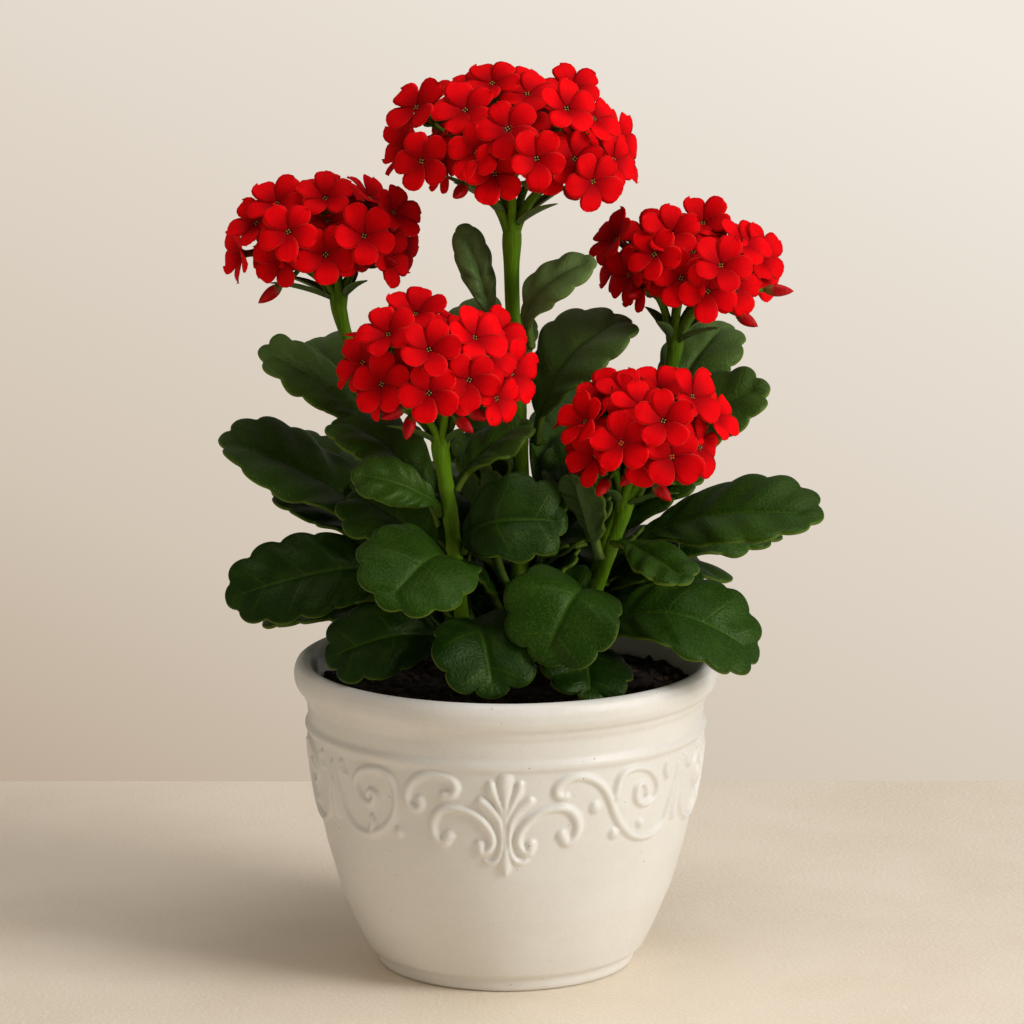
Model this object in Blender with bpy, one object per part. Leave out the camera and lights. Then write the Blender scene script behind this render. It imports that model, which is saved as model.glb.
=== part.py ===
"""Potted kalanchoe: a glazed pot full of soil, five flower stalks, five flower heads and the leaves.

Metres, +Z up, the pot's foot on z = 0 and its axis on the Z axis. The front of the plant faces -Y.
"""

import math

import bmesh
import bpy
import numpy as np

MM = 0.001

# Pot, radius and height in mm, from the inside of the floor round the rim to the underside.
POT_INSIDE = [(0.0, 9.0), (34.0, 9.0), (39.5, 13.0), (46.5, 28.0), (53.0, 44.0), (57.0, 60.0), (59.6, 76.0)]
POT_INSIDE += [(61.4, 88.0), (63.2, 97.0), (64.0, 100.4)]
POT_RIM = [(65.2, 102.2), (67.2, 102.8), (69.2, 101.6), (70.2, 99.0), (69.7, 95.6), (67.0, 91.6)]
POT_OUTSIDE = [(65.6, 84.0), (66.3, 82.4), (66.3, 80.4), (65.2, 79.0), (63.6, 64.0), (59.6, 42.5)]
POT_OUTSIDE += [(55.2, 27.0), (49.4, 13.0), (45.6, 5.6), (42.9, 4.4)]
POT_FOOT = [(42.6, 1.2), (41.6, 0.0), (37.0, 0.0), (36.0, 0.8), (34.0, 0.8), (33.0, 0.0), (0.0, 0.0)]
SIDES = 48

SOIL_TOP = 93.0
SOIL_MOUND = 2.0
SOIL_ROUNDING = 0.8
SOIL_GAP = 0.4
SOCKET_GAP = 0.5

# Flower stalks: centre line from the bottom up and the radius at each point, in mm.
STALKS = {
    1: [((2.0, 5.0, 84.0), 3.2), ((4.6, 4.0, 130.0), 3.1), ((5.0, 3.0, 168.0), 3.0), ((2.2, 1.0, 222.0), 2.8),
        ((2.2, 0.0, 250.0), 3.3)],
    2: [((-11.0, 3.0, 84.0), 2.7), ((-23.0, 8.0, 130.0), 2.6), ((-40.0, 13.0, 175.0), 2.5),
        ((-52.5, 14.0, 208.0), 2.4), ((-56.5, 14.0, 226.0), 2.7)],
    3: [((-10.0, -14.0, 84.0), 2.9), ((-14.4, -22.5, 122.0), 2.8), ((-18.0, -30.0, 158.0), 2.7),
        ((-22.2, -34.0, 186.0), 2.8)],
    4: [((14.0, 6.0, 84.0), 2.7), ((28.0, 9.0, 125.0), 2.6), ((44.0, 12.0, 168.0), 2.5),
        ((53.6, 13.0, 195.0), 2.4), ((57.4, 14.0, 212.0), 2.7)],
    5: [((12.0, -10.0, 84.0), 2.5), ((28.0, -23.5, 126.0), 2.4), ((35.2, -28.0, 148.0), 2.3),
        ((41.0, -30.0, 166.0), 2.6)],
}
STALK_SIDES = 10
STALK_STATIONS = 10
BRANCHES = 6
BRANCH_SIDES = 5
BRANCH_STATIONS = 5
BRANCH_ROOT = 3.0
BRANCH_REACH = 0.42
BRANCH_TOP = 0.55
BRANCH_RADII = (1.5, 0.9)

# Flower heads: centre of the dome, half width, height above and depth below the centre, in mm.
HEADS = {
    1: ((2.4, 0.0, 266.0), 44.5, 36.0, 12.0),
    2: ((-59.0, 14.0, 236.0), 35.0, 28.5, 10.0),
    3: ((-24.0, -36.0, 198.0), 34.0, 33.0, 11.0),
    4: ((60.0, 14.0, 226.0), 33.0, 30.0, 11.0),
    5: ((43.5, -32.0, 177.0), 30.5, 29.0, 10.0),
}
HEAD_RINGS = 11
HEAD_SIDES = 26
FLORETS = {1: 34, 2: 22, 3: 24, 4: 22, 5: 22}
HEAD_LAST_ANGLE = 1.9
FLORET_SWELL = 4.0
FLORET_ANGLE = 0.2

# Leaves: stalk, height on it, tip, full width, rise of the midrib in mm, roll in degrees, petiole share.
LEAVES = {
    # front and sides, from the left round to the right
    "leaf_01": (2, 171.9, (-80.0, -2.2, 205.0), 23.8, 5.9, 43.0, 0.18),
    "leaf_02": (2, 136.6, (-93.4, 3.0, 174.8), 39.7, 5.1, 23.3, 0.16),
    "leaf_03": (2, 128.0, (-90.0, -24.0, 127.0), 29.0, 14.3, 52.0, 0.18),
    "leaf_04": (3, 112.1, (-57.3, -34.9, 109.4), 26.8, 10.1, 46.2, 0.12),
    "leaf_05": (2, 124.8, (-77.0, 30.4, 152.2), 26.0, 4.3, 7.5, 0.18),
    "leaf_06": (3, 155.0, (-55.0, -10.0, 183.0), 28.0, 8.1, 15.0, 0.14),
    "leaf_07": (3, 159.0, (-49.0, -43.0, 172.0), 16.0, 6.5, 62.0, 0.14),
    "leaf_08": (3, 134.0, (-38.0, -67.0, 134.0), 38.0, 14.2, 24.0, 0.14),
    "leaf_09": (3, 117.0, (-4.0, -60.0, 103.5), 34.0, 13.0, -4.0, 0.14),
    "leaf_10": (5, 126.0, (12.0, -57.0, 114.0), 37.0, 16.0, 21.0, 0.10),
    "leaf_11": (5, 107.0, (27.0, -52.0, 100.0), 29.0, 7.8, 8.0, 0.14),
    "leaf_12": (3, 146.0, (19.0, -46.0, 157.0), 29.0, 12.2, -60.0, 0.12),
    "leaf_13": (3, 167.0, (8.0, -23.0, 185.0), 22.0, 3.1, -15.0, 0.14),
    "leaf_14": (1, 131.0, (-7.0, -8.0, 169.0), 26.0, -1.8, 18.0, 0.20),
    "leaf_15": (5, 145.0, (22.0, -39.0, 171.0), 18.0, 0.9, -1.0, 0.14),
    "leaf_16": (5, 147.0, (58.0, -55.0, 139.0), 19.0, 2.2, -13.0, 0.12),
    "leaf_17": (4, 134.4, (102.2, -21.5, 153.5), 36.8, 8.4, -24.3, 0.16),
    "leaf_18": (5, 112.0, (81.0, -34.0, 110.0), 37.0, 16.0, -29.0, 0.14),
    "leaf_19": (4, 155.6, (85.5, -0.5, 193.1), 30.1, 7.8, -41.5, 0.18),
    "leaf_20": (1, 139.9, (47.3, 40.1, 161.0), 25.8, 2.8, -20.4, 0.20),
    "leaf_21": (1, 176.0, (40.0, 13.0, 213.0), 35.0, 9.7, -20.0, 0.14),
    "leaf_22": (1, 186.9, (4.4, 24.5, 212.7), 14.9, 4.6, 21.3, 0.20),
    "leaf_23": (1, 213.4, (-14.3, 8.8, 245.4), 11.5, 4.0, 52.6, 0.14),
    "leaf_24": (1, 209.0, (29.0, -10.0, 236.0), 16.0, 10.0, -55.0, 0.16),
    # behind
    "leaf_25": (1, 134.0, (-20.0, 86.0, 152.0), 30.0, 11.0, 18.0, 0.16),
    "leaf_26": (1, 116.0, (22.0, 92.0, 128.0), 32.0, 12.0, -14.0, 0.16),
    "leaf_27": (2, 112.0, (-62.0, 66.0, 122.0), 32.0, 12.0, 16.0, 0.16),
    "leaf_28": (2, 166.0, (-66.0, 58.0, 198.0), 27.0, 8.0, 24.0, 0.16),
    "leaf_29": (4, 114.0, (70.0, 62.0, 118.0), 32.0, 12.0, -18.0, 0.16),
    "leaf_30": (4, 142.1, (68.9, 69.8, 171.1), 29.0, 2.8, -0.6, 0.16),
    "leaf_31": (1, 160.0, (-22.0, 62.0, 192.0), 27.0, 9.0, 20.0, 0.16),
    "leaf_32": (1, 148.0, (30.0, 66.0, 182.0), 28.0, 9.0, -18.0, 0.16),
    "leaf_33": (2, 103.0, (-80.0, 24.0, 110.0), 30.0, 11.0, 14.0, 0.16),
    "leaf_34": (4, 104.0, (84.0, 18.0, 108.0), 30.0, 11.0, -14.0, 0.16),
    "leaf_35": (2, 141.1, (-86.6, 58.9, 162.5), 27.9, 7.0, 20.0, 0.16),
    "leaf_36": (4, 124.0, (90.0, 40.0, 138.0), 30.0, 9.0, -24.0, 0.16),
    "leaf_37": (1, 178.0, (-12.0, 46.0, 214.0), 22.0, 7.0, 22.0, 0.16),
    "leaf_38": (4, 172.0, (74.0, 46.0, 206.0), 24.0, 7.0, -22.0, 0.16),
    "leaf_39": (1, 104.0, (-10.0, 84.0, 112.0), 31.0, 12.0, -12.0, 0.16),
    "leaf_40": (4, 101.0, (50.0, 76.0, 108.0), 31.0, 11.0, 14.0, 0.16),
    # inside, low between the stalks
    "leaf_41": (2, 111.6, (-50.6, -1.2, 134.1), 24.6, 3.1, 20.8, 0.16),
    "leaf_42": (1, 111.9, (-29.4, 37.0, 138.6), 27.8, 4.5, 10.1, 0.16),
    "leaf_43": (1, 108.0, (29.8, -3.8, 126.8), 26.6, 7.3, -36.3, 0.16),
    "leaf_44": (4, 112.0, (66.0, 0.0, 124.0), 28.0, 7.0, -15.0, 0.16),
    "leaf_45": (3, 102.0, (-46.0, -6.0, 112.0), 26.0, 6.0, 10.0, 0.16),
    "leaf_46": (1, 133.0, (26.7, 1.7, 171.3), 23.8, 4.0, -20.4, 0.16),
}
LEAF_STANDOFF = 1.2
LEAF_THICKNESS = 2.0
PETIOLE_HALF_WIDTH = 1.7
PETIOLE_THICKNESS = 2.6
PETIOLE_STATIONS = 2
LOBES = 4.5
LOBE_HEIGHT = 1.5
BLADE_POWER = 0.42
VEIN_END = 0.93
FOLD = 0.16
EDGE_CURL = 2.0


def material(name, colour, roughness):
    found = bpy.data.materials.new(name)
    found.use_nodes = True
    shader = found.node_tree.nodes["Principled BSDF"]
    shader.inputs["Base Color"].default_value = (*colour, 1.0)
    shader.inputs["Roughness"].default_value = roughness
    shader.inputs["Metallic"].default_value = 0.0
    return found


def add_object(name, points, faces, colour, roughness):
    """One named object from points in mm and faces, its normals turned outwards, with its own material."""
    mesh = bpy.data.meshes.new(name)
    mesh.from_pydata((np.asarray(points, float) * MM).tolist(), [], faces)
    shape = bmesh.new()
    shape.from_mesh(mesh)
    bmesh.ops.remove_doubles(shape, verts=shape.verts, dist=1e-6)
    bmesh.ops.recalc_face_normals(shape, faces=shape.faces)
    shape.to_mesh(mesh)
    shape.free()
    mesh.polygons.foreach_set("use_smooth", [True] * len(mesh.polygons))
    mesh.materials.append(material(name, colour, roughness))
    piece = bpy.data.objects.new(name, mesh)
    bpy.context.scene.collection.objects.link(piece)
    return piece


def grid_faces(rows, columns):
    """The quads between neighbouring rings of points."""
    faces = []
    for low in range(0, (rows - 1) * columns, columns):
        high = low + columns
        for side in range(columns):
            after = (side + 1) % columns
            faces.append((low + side, low + after, high + after, high + side))
    return faces


def turned(name, profile, colour, roughness):
    """A solid of revolution about Z from a profile of radius and height that starts and ends on the axis."""
    angles = np.arange(SIDES) * 2 * math.pi / SIDES
    rings = [(r, z) for r, z in profile if r > 0]
    points = [(r * math.cos(a), r * math.sin(a), z) for r, z in rings for a in angles]
    faces = grid_faces(len(rings), SIDES)
    for ring, (_, z) in ((0, profile[0]), (len(rings) - 1, profile[-1])):
        pole = len(points)
        points.append((0.0, 0.0, z))
        faces += [(pole, ring * SIDES + i, ring * SIDES + (i + 1) % SIDES) for i in range(SIDES)]
    return add_object(name, points, faces, colour, roughness)


def along(stations, count):
    """Centre line and radius of a stalk at evenly spaced places on a smooth curve through its stations."""
    knots = np.array([(*p, r) for p, r in stations])
    padded = np.vstack([2 * knots[0] - knots[1], knots, 2 * knots[-1] - knots[-2]])
    places = np.linspace(0, len(knots) - 1, count)
    first = np.minimum(places.astype(int), len(knots) - 2)
    t = (places - first)[:, None]
    a, b, c, d = (padded[first + k] for k in range(4))
    line = 0.5 * (2 * b + (c - a) * t + (2 * a - 5 * b + 4 * c - d) * t**2 + (3 * b - a - 3 * c + d) * t**3)
    return line[:, :3], line[:, 3]


def tube(centres, radii, sides):
    """Points and faces of a round tube with closed ends along a line of centres."""
    centres = np.asarray(centres, float)
    tangents = np.gradient(centres, axis=0)
    tangents /= np.linalg.norm(tangents, axis=1)[:, None]
    points = []
    for centre, tangent, radius in zip(centres, tangents, radii):
        across = np.cross(tangent, (0.0, 1.0, 0.0))
        across /= np.linalg.norm(across)
        over = np.cross(tangent, across)
        for side in range(sides):
            a = 2 * math.pi * side / sides
            points.append(centre + radius * (math.cos(a) * across + math.sin(a) * over))
    faces = grid_faces(len(centres), sides)
    for row in (0, len(centres) - 1):
        middle = len(points)
        points.append(centres[row])
        faces += [(middle, row * sides + i, row * sides + (i + 1) % sides) for i in range(sides)]
    return points, faces


def stalk_centre(number, height):
    """The point of a stalk's centre line at a height in mm, and the radius there."""
    line, radii = along(STALKS[number], 200)
    point = np.array([np.interp(height, line[:, 2], line[:, k]) for k in range(3)])
    return point, float(np.interp(height, line[:, 2], radii))


def cut_or_join(target, other, operation):
    """Applies one exact Boolean and removes the other object."""
    modifier = target.modifiers.new("join", "BOOLEAN")
    modifier.solver = "EXACT"
    modifier.operation = operation
    modifier.object = other
    bpy.context.view_layer.update()
    graph = bpy.context.evaluated_depsgraph_get()
    mesh = bpy.data.meshes.new_from_object(target.evaluated_get(graph))
    target.modifiers.clear()
    target.data = mesh
    bpy.data.objects.remove(other)


def build_soil():
    """The soil fills the pot up to a slightly mounded top, with a socket for the foot of each stalk."""
    inner = [(r - SOIL_GAP, z + SOIL_GAP) for r, z in POT_INSIDE if r > 0 and z < SOIL_TOP - 1]
    edge = np.interp(SOIL_TOP, [z for _, z in POT_INSIDE], [r for r, _ in POT_INSIDE]) - SOIL_GAP
    shares = (0.0, 0.3, 0.6, 0.85, 0.97)
    top = [(edge * share, SOIL_TOP + SOIL_MOUND * (1 - share**2)) for share in shares]
    profile = top + [(edge, SOIL_TOP - SOIL_ROUNDING)] + inner[::-1] + [(0.0, inner[0][1])]
    soil = turned("soil", profile, (0.035, 0.022, 0.014), 0.95)
    for number, stations in STALKS.items():
        line, radii = along(stations, STALK_STATIONS)
        centres = np.vstack([line[0] - (line[1] - line[0]) * 0.03, line[:4]])
        points, faces = tube(centres, np.full(len(centres), radii[0] + SOCKET_GAP), STALK_SIDES)
        cut_or_join(soil, add_object("socket", points, faces, (0, 0, 0), 1.0), "DIFFERENCE")
    return soil


def branch_lines(number):
    """The short branches of a flower head: each rises from the top of the stalk, bending outwards."""
    centre, half_width, _, down = HEADS[number]
    start = np.array(STALKS[number][-1][0]) - (0.0, 0.0, BRANCH_ROOT)
    rise = np.array([0.0, 0.0, centre[2] - down * BRANCH_TOP - start[2]])
    steps = np.linspace(0, 1, BRANCH_STATIONS)[:, None]
    lines = []
    for index in range(BRANCHES):
        turn = 2 * math.pi * (index + 0.3 * number) / BRANCHES
        out = np.array([math.cos(turn), math.sin(turn), 0.0]) * half_width * BRANCH_REACH
        lines.append(start + out * steps**1.3 + rise * steps)
    return lines


def build_stalks():
    """Each stalk is a tapering tube with its branches joined to its top."""
    for number, stations in STALKS.items():
        line, radii = along(stations, STALK_STATIONS)
        points, faces = tube(line, radii, STALK_SIDES)
        stalk = add_object(f"flower_stalk_{number}", points, faces, (0.10, 0.22, 0.04), 0.55)
        for branch in branch_lines(number):
            points, faces = tube(branch, np.linspace(*BRANCH_RADII, len(branch)), BRANCH_SIDES)
            cut_or_join(stalk, add_object("branch", points, faces, (0, 0, 0), 1.0), "UNION")


def head_surface(number):
    """Points of a flower head: rings from the crown down to the hollow underside, swelling at each floret.

    radius = ellipse(half width, height above or depth below) + swell * exp(-(angle from floret / spread)^2)
    """
    centre, half_width, up, down = HEADS[number]
    count = FLORETS[number]
    rank = np.arange(count) + 0.5
    cosine = 1 - rank / count * 1.25
    sine = np.sqrt(1 - cosine**2)
    turn = rank * math.pi * (3 - math.sqrt(5)) + number
    florets = np.stack([sine * np.cos(turn), sine * np.sin(turn), cosine], axis=1)
    points = []
    for polar in np.linspace(0.0, HEAD_LAST_ANGLE, HEAD_RINGS)[1:]:
        for side in range(HEAD_SIDES):
            a = 2 * math.pi * side / HEAD_SIDES
            way = np.array([math.sin(polar) * math.cos(a), math.sin(polar) * math.sin(a), math.cos(polar)])
            near = np.arccos(np.clip(florets @ way, -1, 1))
            swell = FLORET_SWELL * np.exp(-((near / FLORET_ANGLE) ** 2)).max()
            height = up if way[2] > 0 else down
            stretch = way * (half_width - FLORET_SWELL, half_width - FLORET_SWELL, height - FLORET_SWELL)
            points.append(np.array(centre) + stretch + way * swell)
    return np.array(points), np.array(centre) + (0, 0, up)


def build_heads():
    """Each head is a dome with a hollow underside, where the branches of its stalk end."""
    for number, (centre, _, _, down) in HEADS.items():
        points, crown = head_surface(number)
        rows = HEAD_RINGS - 1
        last = points[-HEAD_SIDES:]
        middle = np.array(centre) - (0, 0, down * 0.45)
        inner = middle + (last - middle) * (0.5, 0.5, 0.25)
        points = np.vstack([points, inner, [crown, middle]])
        faces = grid_faces(rows + 1, HEAD_SIDES)
        top, bottom = len(points) - 2, len(points) - 1
        for side in range(HEAD_SIDES):
            after = (side + 1) % HEAD_SIDES
            faces.append((top, after, side))
            faces.append((bottom, rows * HEAD_SIDES + side, rows * HEAD_SIDES + after))
        add_object(f"flower_head_{number}", points, faces, (0.55, 0.004, 0.006), 0.5)


def leaf_midrib(base, tip, rise, face):
    """A curve from base to tip that rises above the straight line by the given height at its middle."""
    t = np.linspace(0, 1, 41)[:, None]
    line = base + (tip - base) * t + face * rise * 4 * t * (1 - t)
    length = np.concatenate([[0], np.cumsum(np.linalg.norm(np.diff(line, axis=0), axis=1))])
    return line, length


def leaf_outline(length, width, petiole):
    """Distance along the leaf, half width and the matching vein foot on the midrib, from stalk to tip.

    blade: x = petiole + L * (1 - cos a) / 2,  y = W / 2 * sin(a) * ((1 - cos a) / 2)^power / its peak
    scallops: moved outwards by lobe height * |sin(pi * lobes * q)|^0.6 at the share q of the margin
    """
    start = petiole * length
    blade = length - start
    a = np.linspace(0, math.pi, 400)
    shape = np.sin(a) * ((1 - np.cos(a)) / 2) ** BLADE_POWER
    x = start + blade * (1 - np.cos(a)) / 2
    y = width / 2 * shape / shape.max() + PETIOLE_HALF_WIDTH * np.clip(1 - (x - start) / blade, 0, 1) ** 2
    step = np.hypot(np.diff(x), np.diff(y))
    q = np.concatenate([[0], np.cumsum(step)]) / step.sum()
    out_x, out_y = np.gradient(y), -np.gradient(x)
    size = np.hypot(out_x, out_y)
    height = LOBE_HEIGHT * min(1.0, width / 26)
    lobe = height * np.clip((q - 0.2) / 0.2, 0, 1) * (np.abs(np.sin(math.pi * LOBES * q)) ** 0.6 - 0.5)
    x, y = x - out_x / size * lobe, np.maximum(y - out_y / size * lobe, 0)
    y[-1] = 0
    wanted = np.append(np.arange(3 * int(LOBES) + 2) / 3, LOBES) / LOBES
    x, y = np.interp(wanted, q, x), np.interp(wanted, q, y)
    foot = start + blade * VEIN_END * np.interp(wanted, q, (1 - np.cos(a)) / 2) ** 1.05
    stem = np.linspace(0, start, PETIOLE_STATIONS, endpoint=False)
    x = np.concatenate([stem, x])
    foot = np.concatenate([stem, foot])
    return x, np.concatenate([np.full(PETIOLE_STATIONS, PETIOLE_HALF_WIDTH), y]), foot


def leaf_points(name):
    """Rings of four points along one leaf: left margin, top of the midrib, right margin, underside of it."""
    number, height, tip, width, rise, roll, petiole = LEAVES[name]
    centre, radius = stalk_centre(number, height)
    tip = np.array(tip)
    away = (tip - centre) / np.linalg.norm(tip - centre)
    outwards = tip - centre
    outwards[2] = 0
    clear = (radius + LEAF_STANDOFF) / max(0.5, np.linalg.norm(away[:2]))
    base = centre + outwards / np.linalg.norm(outwards) * clear
    chord = (tip - base) / np.linalg.norm(tip - base)
    side = np.cross(chord, (0.0, 0.0, 1.0))
    side /= np.linalg.norm(side)
    angle = math.radians(roll)
    face = np.cross(side, chord)
    turned_side = side * math.cos(angle) + face * math.sin(angle)
    side, face = turned_side, face * math.cos(angle) - side * math.sin(angle)
    line, lengths = leaf_midrib(base, tip, rise, face)
    x, y, foot = leaf_outline(lengths[-1], width, petiole)

    def on_midrib(distance):
        point = np.stack([np.interp(distance, lengths, line[:, k]) for k in range(3)], axis=1)
        beyond = np.maximum(distance - lengths[-1], 0)[:, None]
        last = (line[-1] - line[-2]) / np.linalg.norm(line[-1] - line[-2])
        return point + last * beyond

    lift = FOLD * y - EDGE_CURL * (y / (width / 2)) ** 3 * (y > PETIOLE_HALF_WIDTH)
    ribs = on_midrib(foot)
    left, right = (on_midrib(x) + sign * side * y[:, None] + face * lift[:, None] for sign in (-1, 1))
    share = np.clip((x - petiole * lengths[-1]) / (0.25 * lengths[-1]), 0, 1)[:, None]
    half = face * (PETIOLE_THICKNESS + (LEAF_THICKNESS - PETIOLE_THICKNESS) * share) / 2
    return np.stack([left, ribs + half, right, ribs - half], axis=1)


def build_leaves():
    for name in LEAVES:
        rings = leaf_points(name)
        rows, columns, _ = rings.shape
        faces = grid_faces(rows, columns)
        faces.append(tuple(range(columns)))
        add_object(name, rings.reshape(-1, 3), faces, (0.025, 0.085, 0.020), 0.5)


for old in list(bpy.data.objects):
    bpy.data.objects.remove(old)
turned("pot", POT_INSIDE + POT_RIM + POT_OUTSIDE + POT_FOOT, (0.72, 0.69, 0.62), 0.3)
build_soil()
build_stalks()
build_heads()
build_leaves()
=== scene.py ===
"""Potted kalanchoe: the surfaces that are seen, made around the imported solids.

Metres in the scene, +Z up, the pot's foot on z = 0, the front of the plant faces -Y. Tables are in mm.
"""

import itertools
import math

import bmesh
import bpy
import numpy as np
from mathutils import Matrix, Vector


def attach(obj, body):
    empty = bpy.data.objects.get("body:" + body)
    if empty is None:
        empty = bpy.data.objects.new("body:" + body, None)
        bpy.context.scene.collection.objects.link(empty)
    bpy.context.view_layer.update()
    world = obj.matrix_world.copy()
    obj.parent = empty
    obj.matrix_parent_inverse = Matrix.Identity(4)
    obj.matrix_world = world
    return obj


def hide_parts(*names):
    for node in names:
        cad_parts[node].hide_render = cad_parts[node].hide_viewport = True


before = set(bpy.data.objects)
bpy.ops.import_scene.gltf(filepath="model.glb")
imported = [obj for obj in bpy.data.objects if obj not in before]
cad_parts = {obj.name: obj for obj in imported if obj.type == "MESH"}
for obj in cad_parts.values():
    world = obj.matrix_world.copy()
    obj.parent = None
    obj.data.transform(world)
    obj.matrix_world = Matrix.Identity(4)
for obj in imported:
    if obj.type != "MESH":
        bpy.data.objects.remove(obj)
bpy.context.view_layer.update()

MM = 0.001
PI = math.pi
GOLDEN = PI * (3 - math.sqrt(5))

# Pot: radius and height from the middle of its floor over the rim and down to the middle of its foot.
POT_INSIDE = [(0, 9), (34, 9), (39.5, 13), (46.5, 28), (53, 44), (57, 60), (59.6, 76), (61.4, 88), (63.2, 97)]
POT_INSIDE += [(63.9, 100.2), (65.2, 102.2)]
POT_RIM = [(67.2, 102.8), (69.2, 101.6), (70.1, 99), (69.9, 96), (68.9, 93.8), (67.3, 92.6), (67, 91.2)]
POT_RIM += [(66.4, 90.2), (65.9, 89.4), (65.6, 86), (65.4, 83.6), (65.7, 82.9), (66.4, 82.2), (66.6, 81.2)]
POT_RIM += [(66.3, 80.2), (65.4, 79.4), (65.1, 78.4)]
POT_OUTSIDE = [(64.6, 72), (63.6, 64), (61.8, 53), (59.6, 42.5), (55.2, 27), (49.4, 13), (45.8, 6)]
POT_OUTSIDE += [(43.4, 4.6)]
POT_FOOT = [(42.9, 3.6), (42.8, 1.2), (41.8, 0.1), (37, 0), (36, 0.8), (34, 0.8), (33, 0), (0, 0)]
POT_COLUMNS = 720
POT_ROUNDING = 1.4
POT_UNEVENNESS = 0.12
PATTERN_BAND = (41.0, 79.2)
PATTERN_GIRTH = 63.0
PATTERN_HEIGHT = 1.4

# The raised pattern on the pot. Each stroke is a row of stations: place along the girth from the palmette,
# height and half width.
STROKES = [
    # palmette: middle petal with its stem and drop, second petal, third petal with its curled foot
    [(0, 77.2, 2.4), (0, 74.1, 2.3), (0, 71.1, 1.7), (0, 67.4, 1), (0, 62.4, 0.7), (0, 57.3, 0.6),
     (0, 53.5, 0.9), (0, 50.4, 1.8), (0, 48.1, 2.2), (0, 46, 1.3), (0, 44.5, 0.4)],
    [(4.5, 75.6, 1.3), (4, 73.3, 1.5), (3.1, 71.1, 1.3), (1.9, 68.4, 1.1), (0.9, 65.4, 0.8),
     (0.3, 62.4, 0.5)],
    [(7.7, 69.9, 1.5), (5.7, 68.1, 1.7), (3.6, 65.9, 1.6), (2.1, 63.4, 1.3), (1.4, 60.4, 1),
     (1.2, 57.3, 0.8), (1.3, 54.7, 0.8), (1.7, 52.2, 0.9), (2.7, 50.1, 1), (4.3, 48.9, 0.9),
     (6, 48.9, 0.7), (7.2, 49.5, 0.4)],
    # scroll that rises from a ball, arches over and curls at the palmette's foot
    [(18.4, 57.6, 1.9), (20.1, 55, 1.6), (22.4, 56, 1.5), (23.6, 58.4, 1.5), (23.7, 61.2, 1.6),
     (22.5, 64.1, 1.6), (20.2, 66.3, 1.4), (16.3, 67.1, 1.2), (11.6, 66.1, 1.2), (8.3, 63.9, 1.3),
     (5.8, 61.1, 1.3), (4.3, 58, 1.3), (4.3, 55.2, 1.3), (6, 52.6, 1.3), (7.9, 52.6, 1.5),
     (8.3, 55, 1.8)],
    # on the mirror line
    [(66, 69, 0.8), (66, 64, 1.6), (66, 59, 2), (66, 56.5, 1.2)],
]
RIGHT_STROKES = [
    # scroll under the bead that runs down into the wide loop and up to the mirror line
    [(19.2, 70.9, 1.2), (17.9, 70.7, 1.3), (16.4, 71.8, 1.5), (16.2, 73.6, 1.5), (17.7, 75.4, 1.5),
     (19.8, 76.6, 1.4), (22.4, 77.1, 1.3), (25.6, 76.8, 1.3), (29, 75.2, 1.3), (31.9, 72.5, 1.3),
     (34.1, 69.1, 1.3), (35.8, 65.3, 1.3), (38, 61.2, 1.3), (40.8, 57.6, 1.3), (44.5, 54.6, 1.2),
     (48.7, 52.9, 1.1), (53.7, 52.7, 1.1), (57.4, 54.2, 1.1), (60.2, 56.7, 1.1), (61.7, 60.4, 0.9),
     (62.5, 63.9, 0.9), (63.7, 67.5, 0.8), (65.1, 70.6, 0.8), (66, 75, 0.8)],
    # spiral inside the loop
    [(36.6, 68.8, 1.3), (37.2, 72.6, 1.3), (38.2, 75.2, 1.3), (40.5, 76.9, 1.2), (44.5, 77.4, 1.1),
     (48.6, 76.4, 1.1), (52.1, 73.9, 1.1), (54.2, 70.6, 1), (54.4, 67.7, 1), (52.8, 65.4, 1),
     (50, 64.3, 1.1), (47.5, 64.8, 1.2), (45.4, 66.6, 1.2), (44.9, 68.7, 1.1), (45.3, 70.7, 1),
     (47.1, 71.7, 0.8), (49.1, 70.3, 0.9), (49.6, 67.9, 1)],
    # drop
    [(59, 76.6, 1), (58.3, 74.4, 1.1), (59.2, 72, 1.3)],
]
LEFT_STROKES = [
    # scroll curled in at both ends
    [(19.3, 71.3, 1.7), (16.9, 71.5, 1.5), (15.6, 74.2, 1.5), (17, 76.6, 1.5), (19.9, 77.6, 1.5),
     (24.3, 77.7, 1.5), (28.2, 76.2, 1.5), (31, 73.3, 1.5), (32.3, 69.5, 1.5), (31.3, 66.5, 1.5),
     (29.1, 65.5, 1.5), (27.2, 67.2, 1.4), (27.6, 69.2, 1.5)],
    # spiral that runs out into the wide loop and up to the mirror line
    [(48, 67.4, 0.9), (46.7, 69.3, 1), (44.7, 68.7, 1.2), (45.1, 66.3, 1.3), (47.4, 64.6, 1.4),
     (50.4, 65.2, 1.4), (52.7, 67.8, 1.4), (53.3, 71.2, 1.4), (50.6, 74.8, 1.4), (45.7, 76.8, 1.4),
     (40.9, 76.8, 1.4), (37.6, 74.4, 1.4), (36.2, 70.4, 1.4), (36.5, 65.5, 1.4), (38.8, 60.5, 1.4),
     (43.4, 56.3, 1.4), (49.1, 54, 1.4), (54.7, 54.2, 1.4), (59, 56.8, 1.4), (61.6, 60.6, 1.2),
     (63, 65.5, 1), (64.6, 70.5, 0.9), (66, 75, 0.8)],
    # tongue in the loop, and drop
    [(47.1, 60.3, 0.9), (46.7, 58.2, 1.2), (48, 55.8, 1.2)],
    [(60.1, 76.3, 1), (59.7, 74.1, 1.1), (58, 72.5, 1)],
]
BALLS = {1: [(29.5, 66.1, 2.2), (37.2, 56.1, 2), (48.2, 57.9, 1.8)], -1: [(36.3, 56.6, 2)]}

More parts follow.
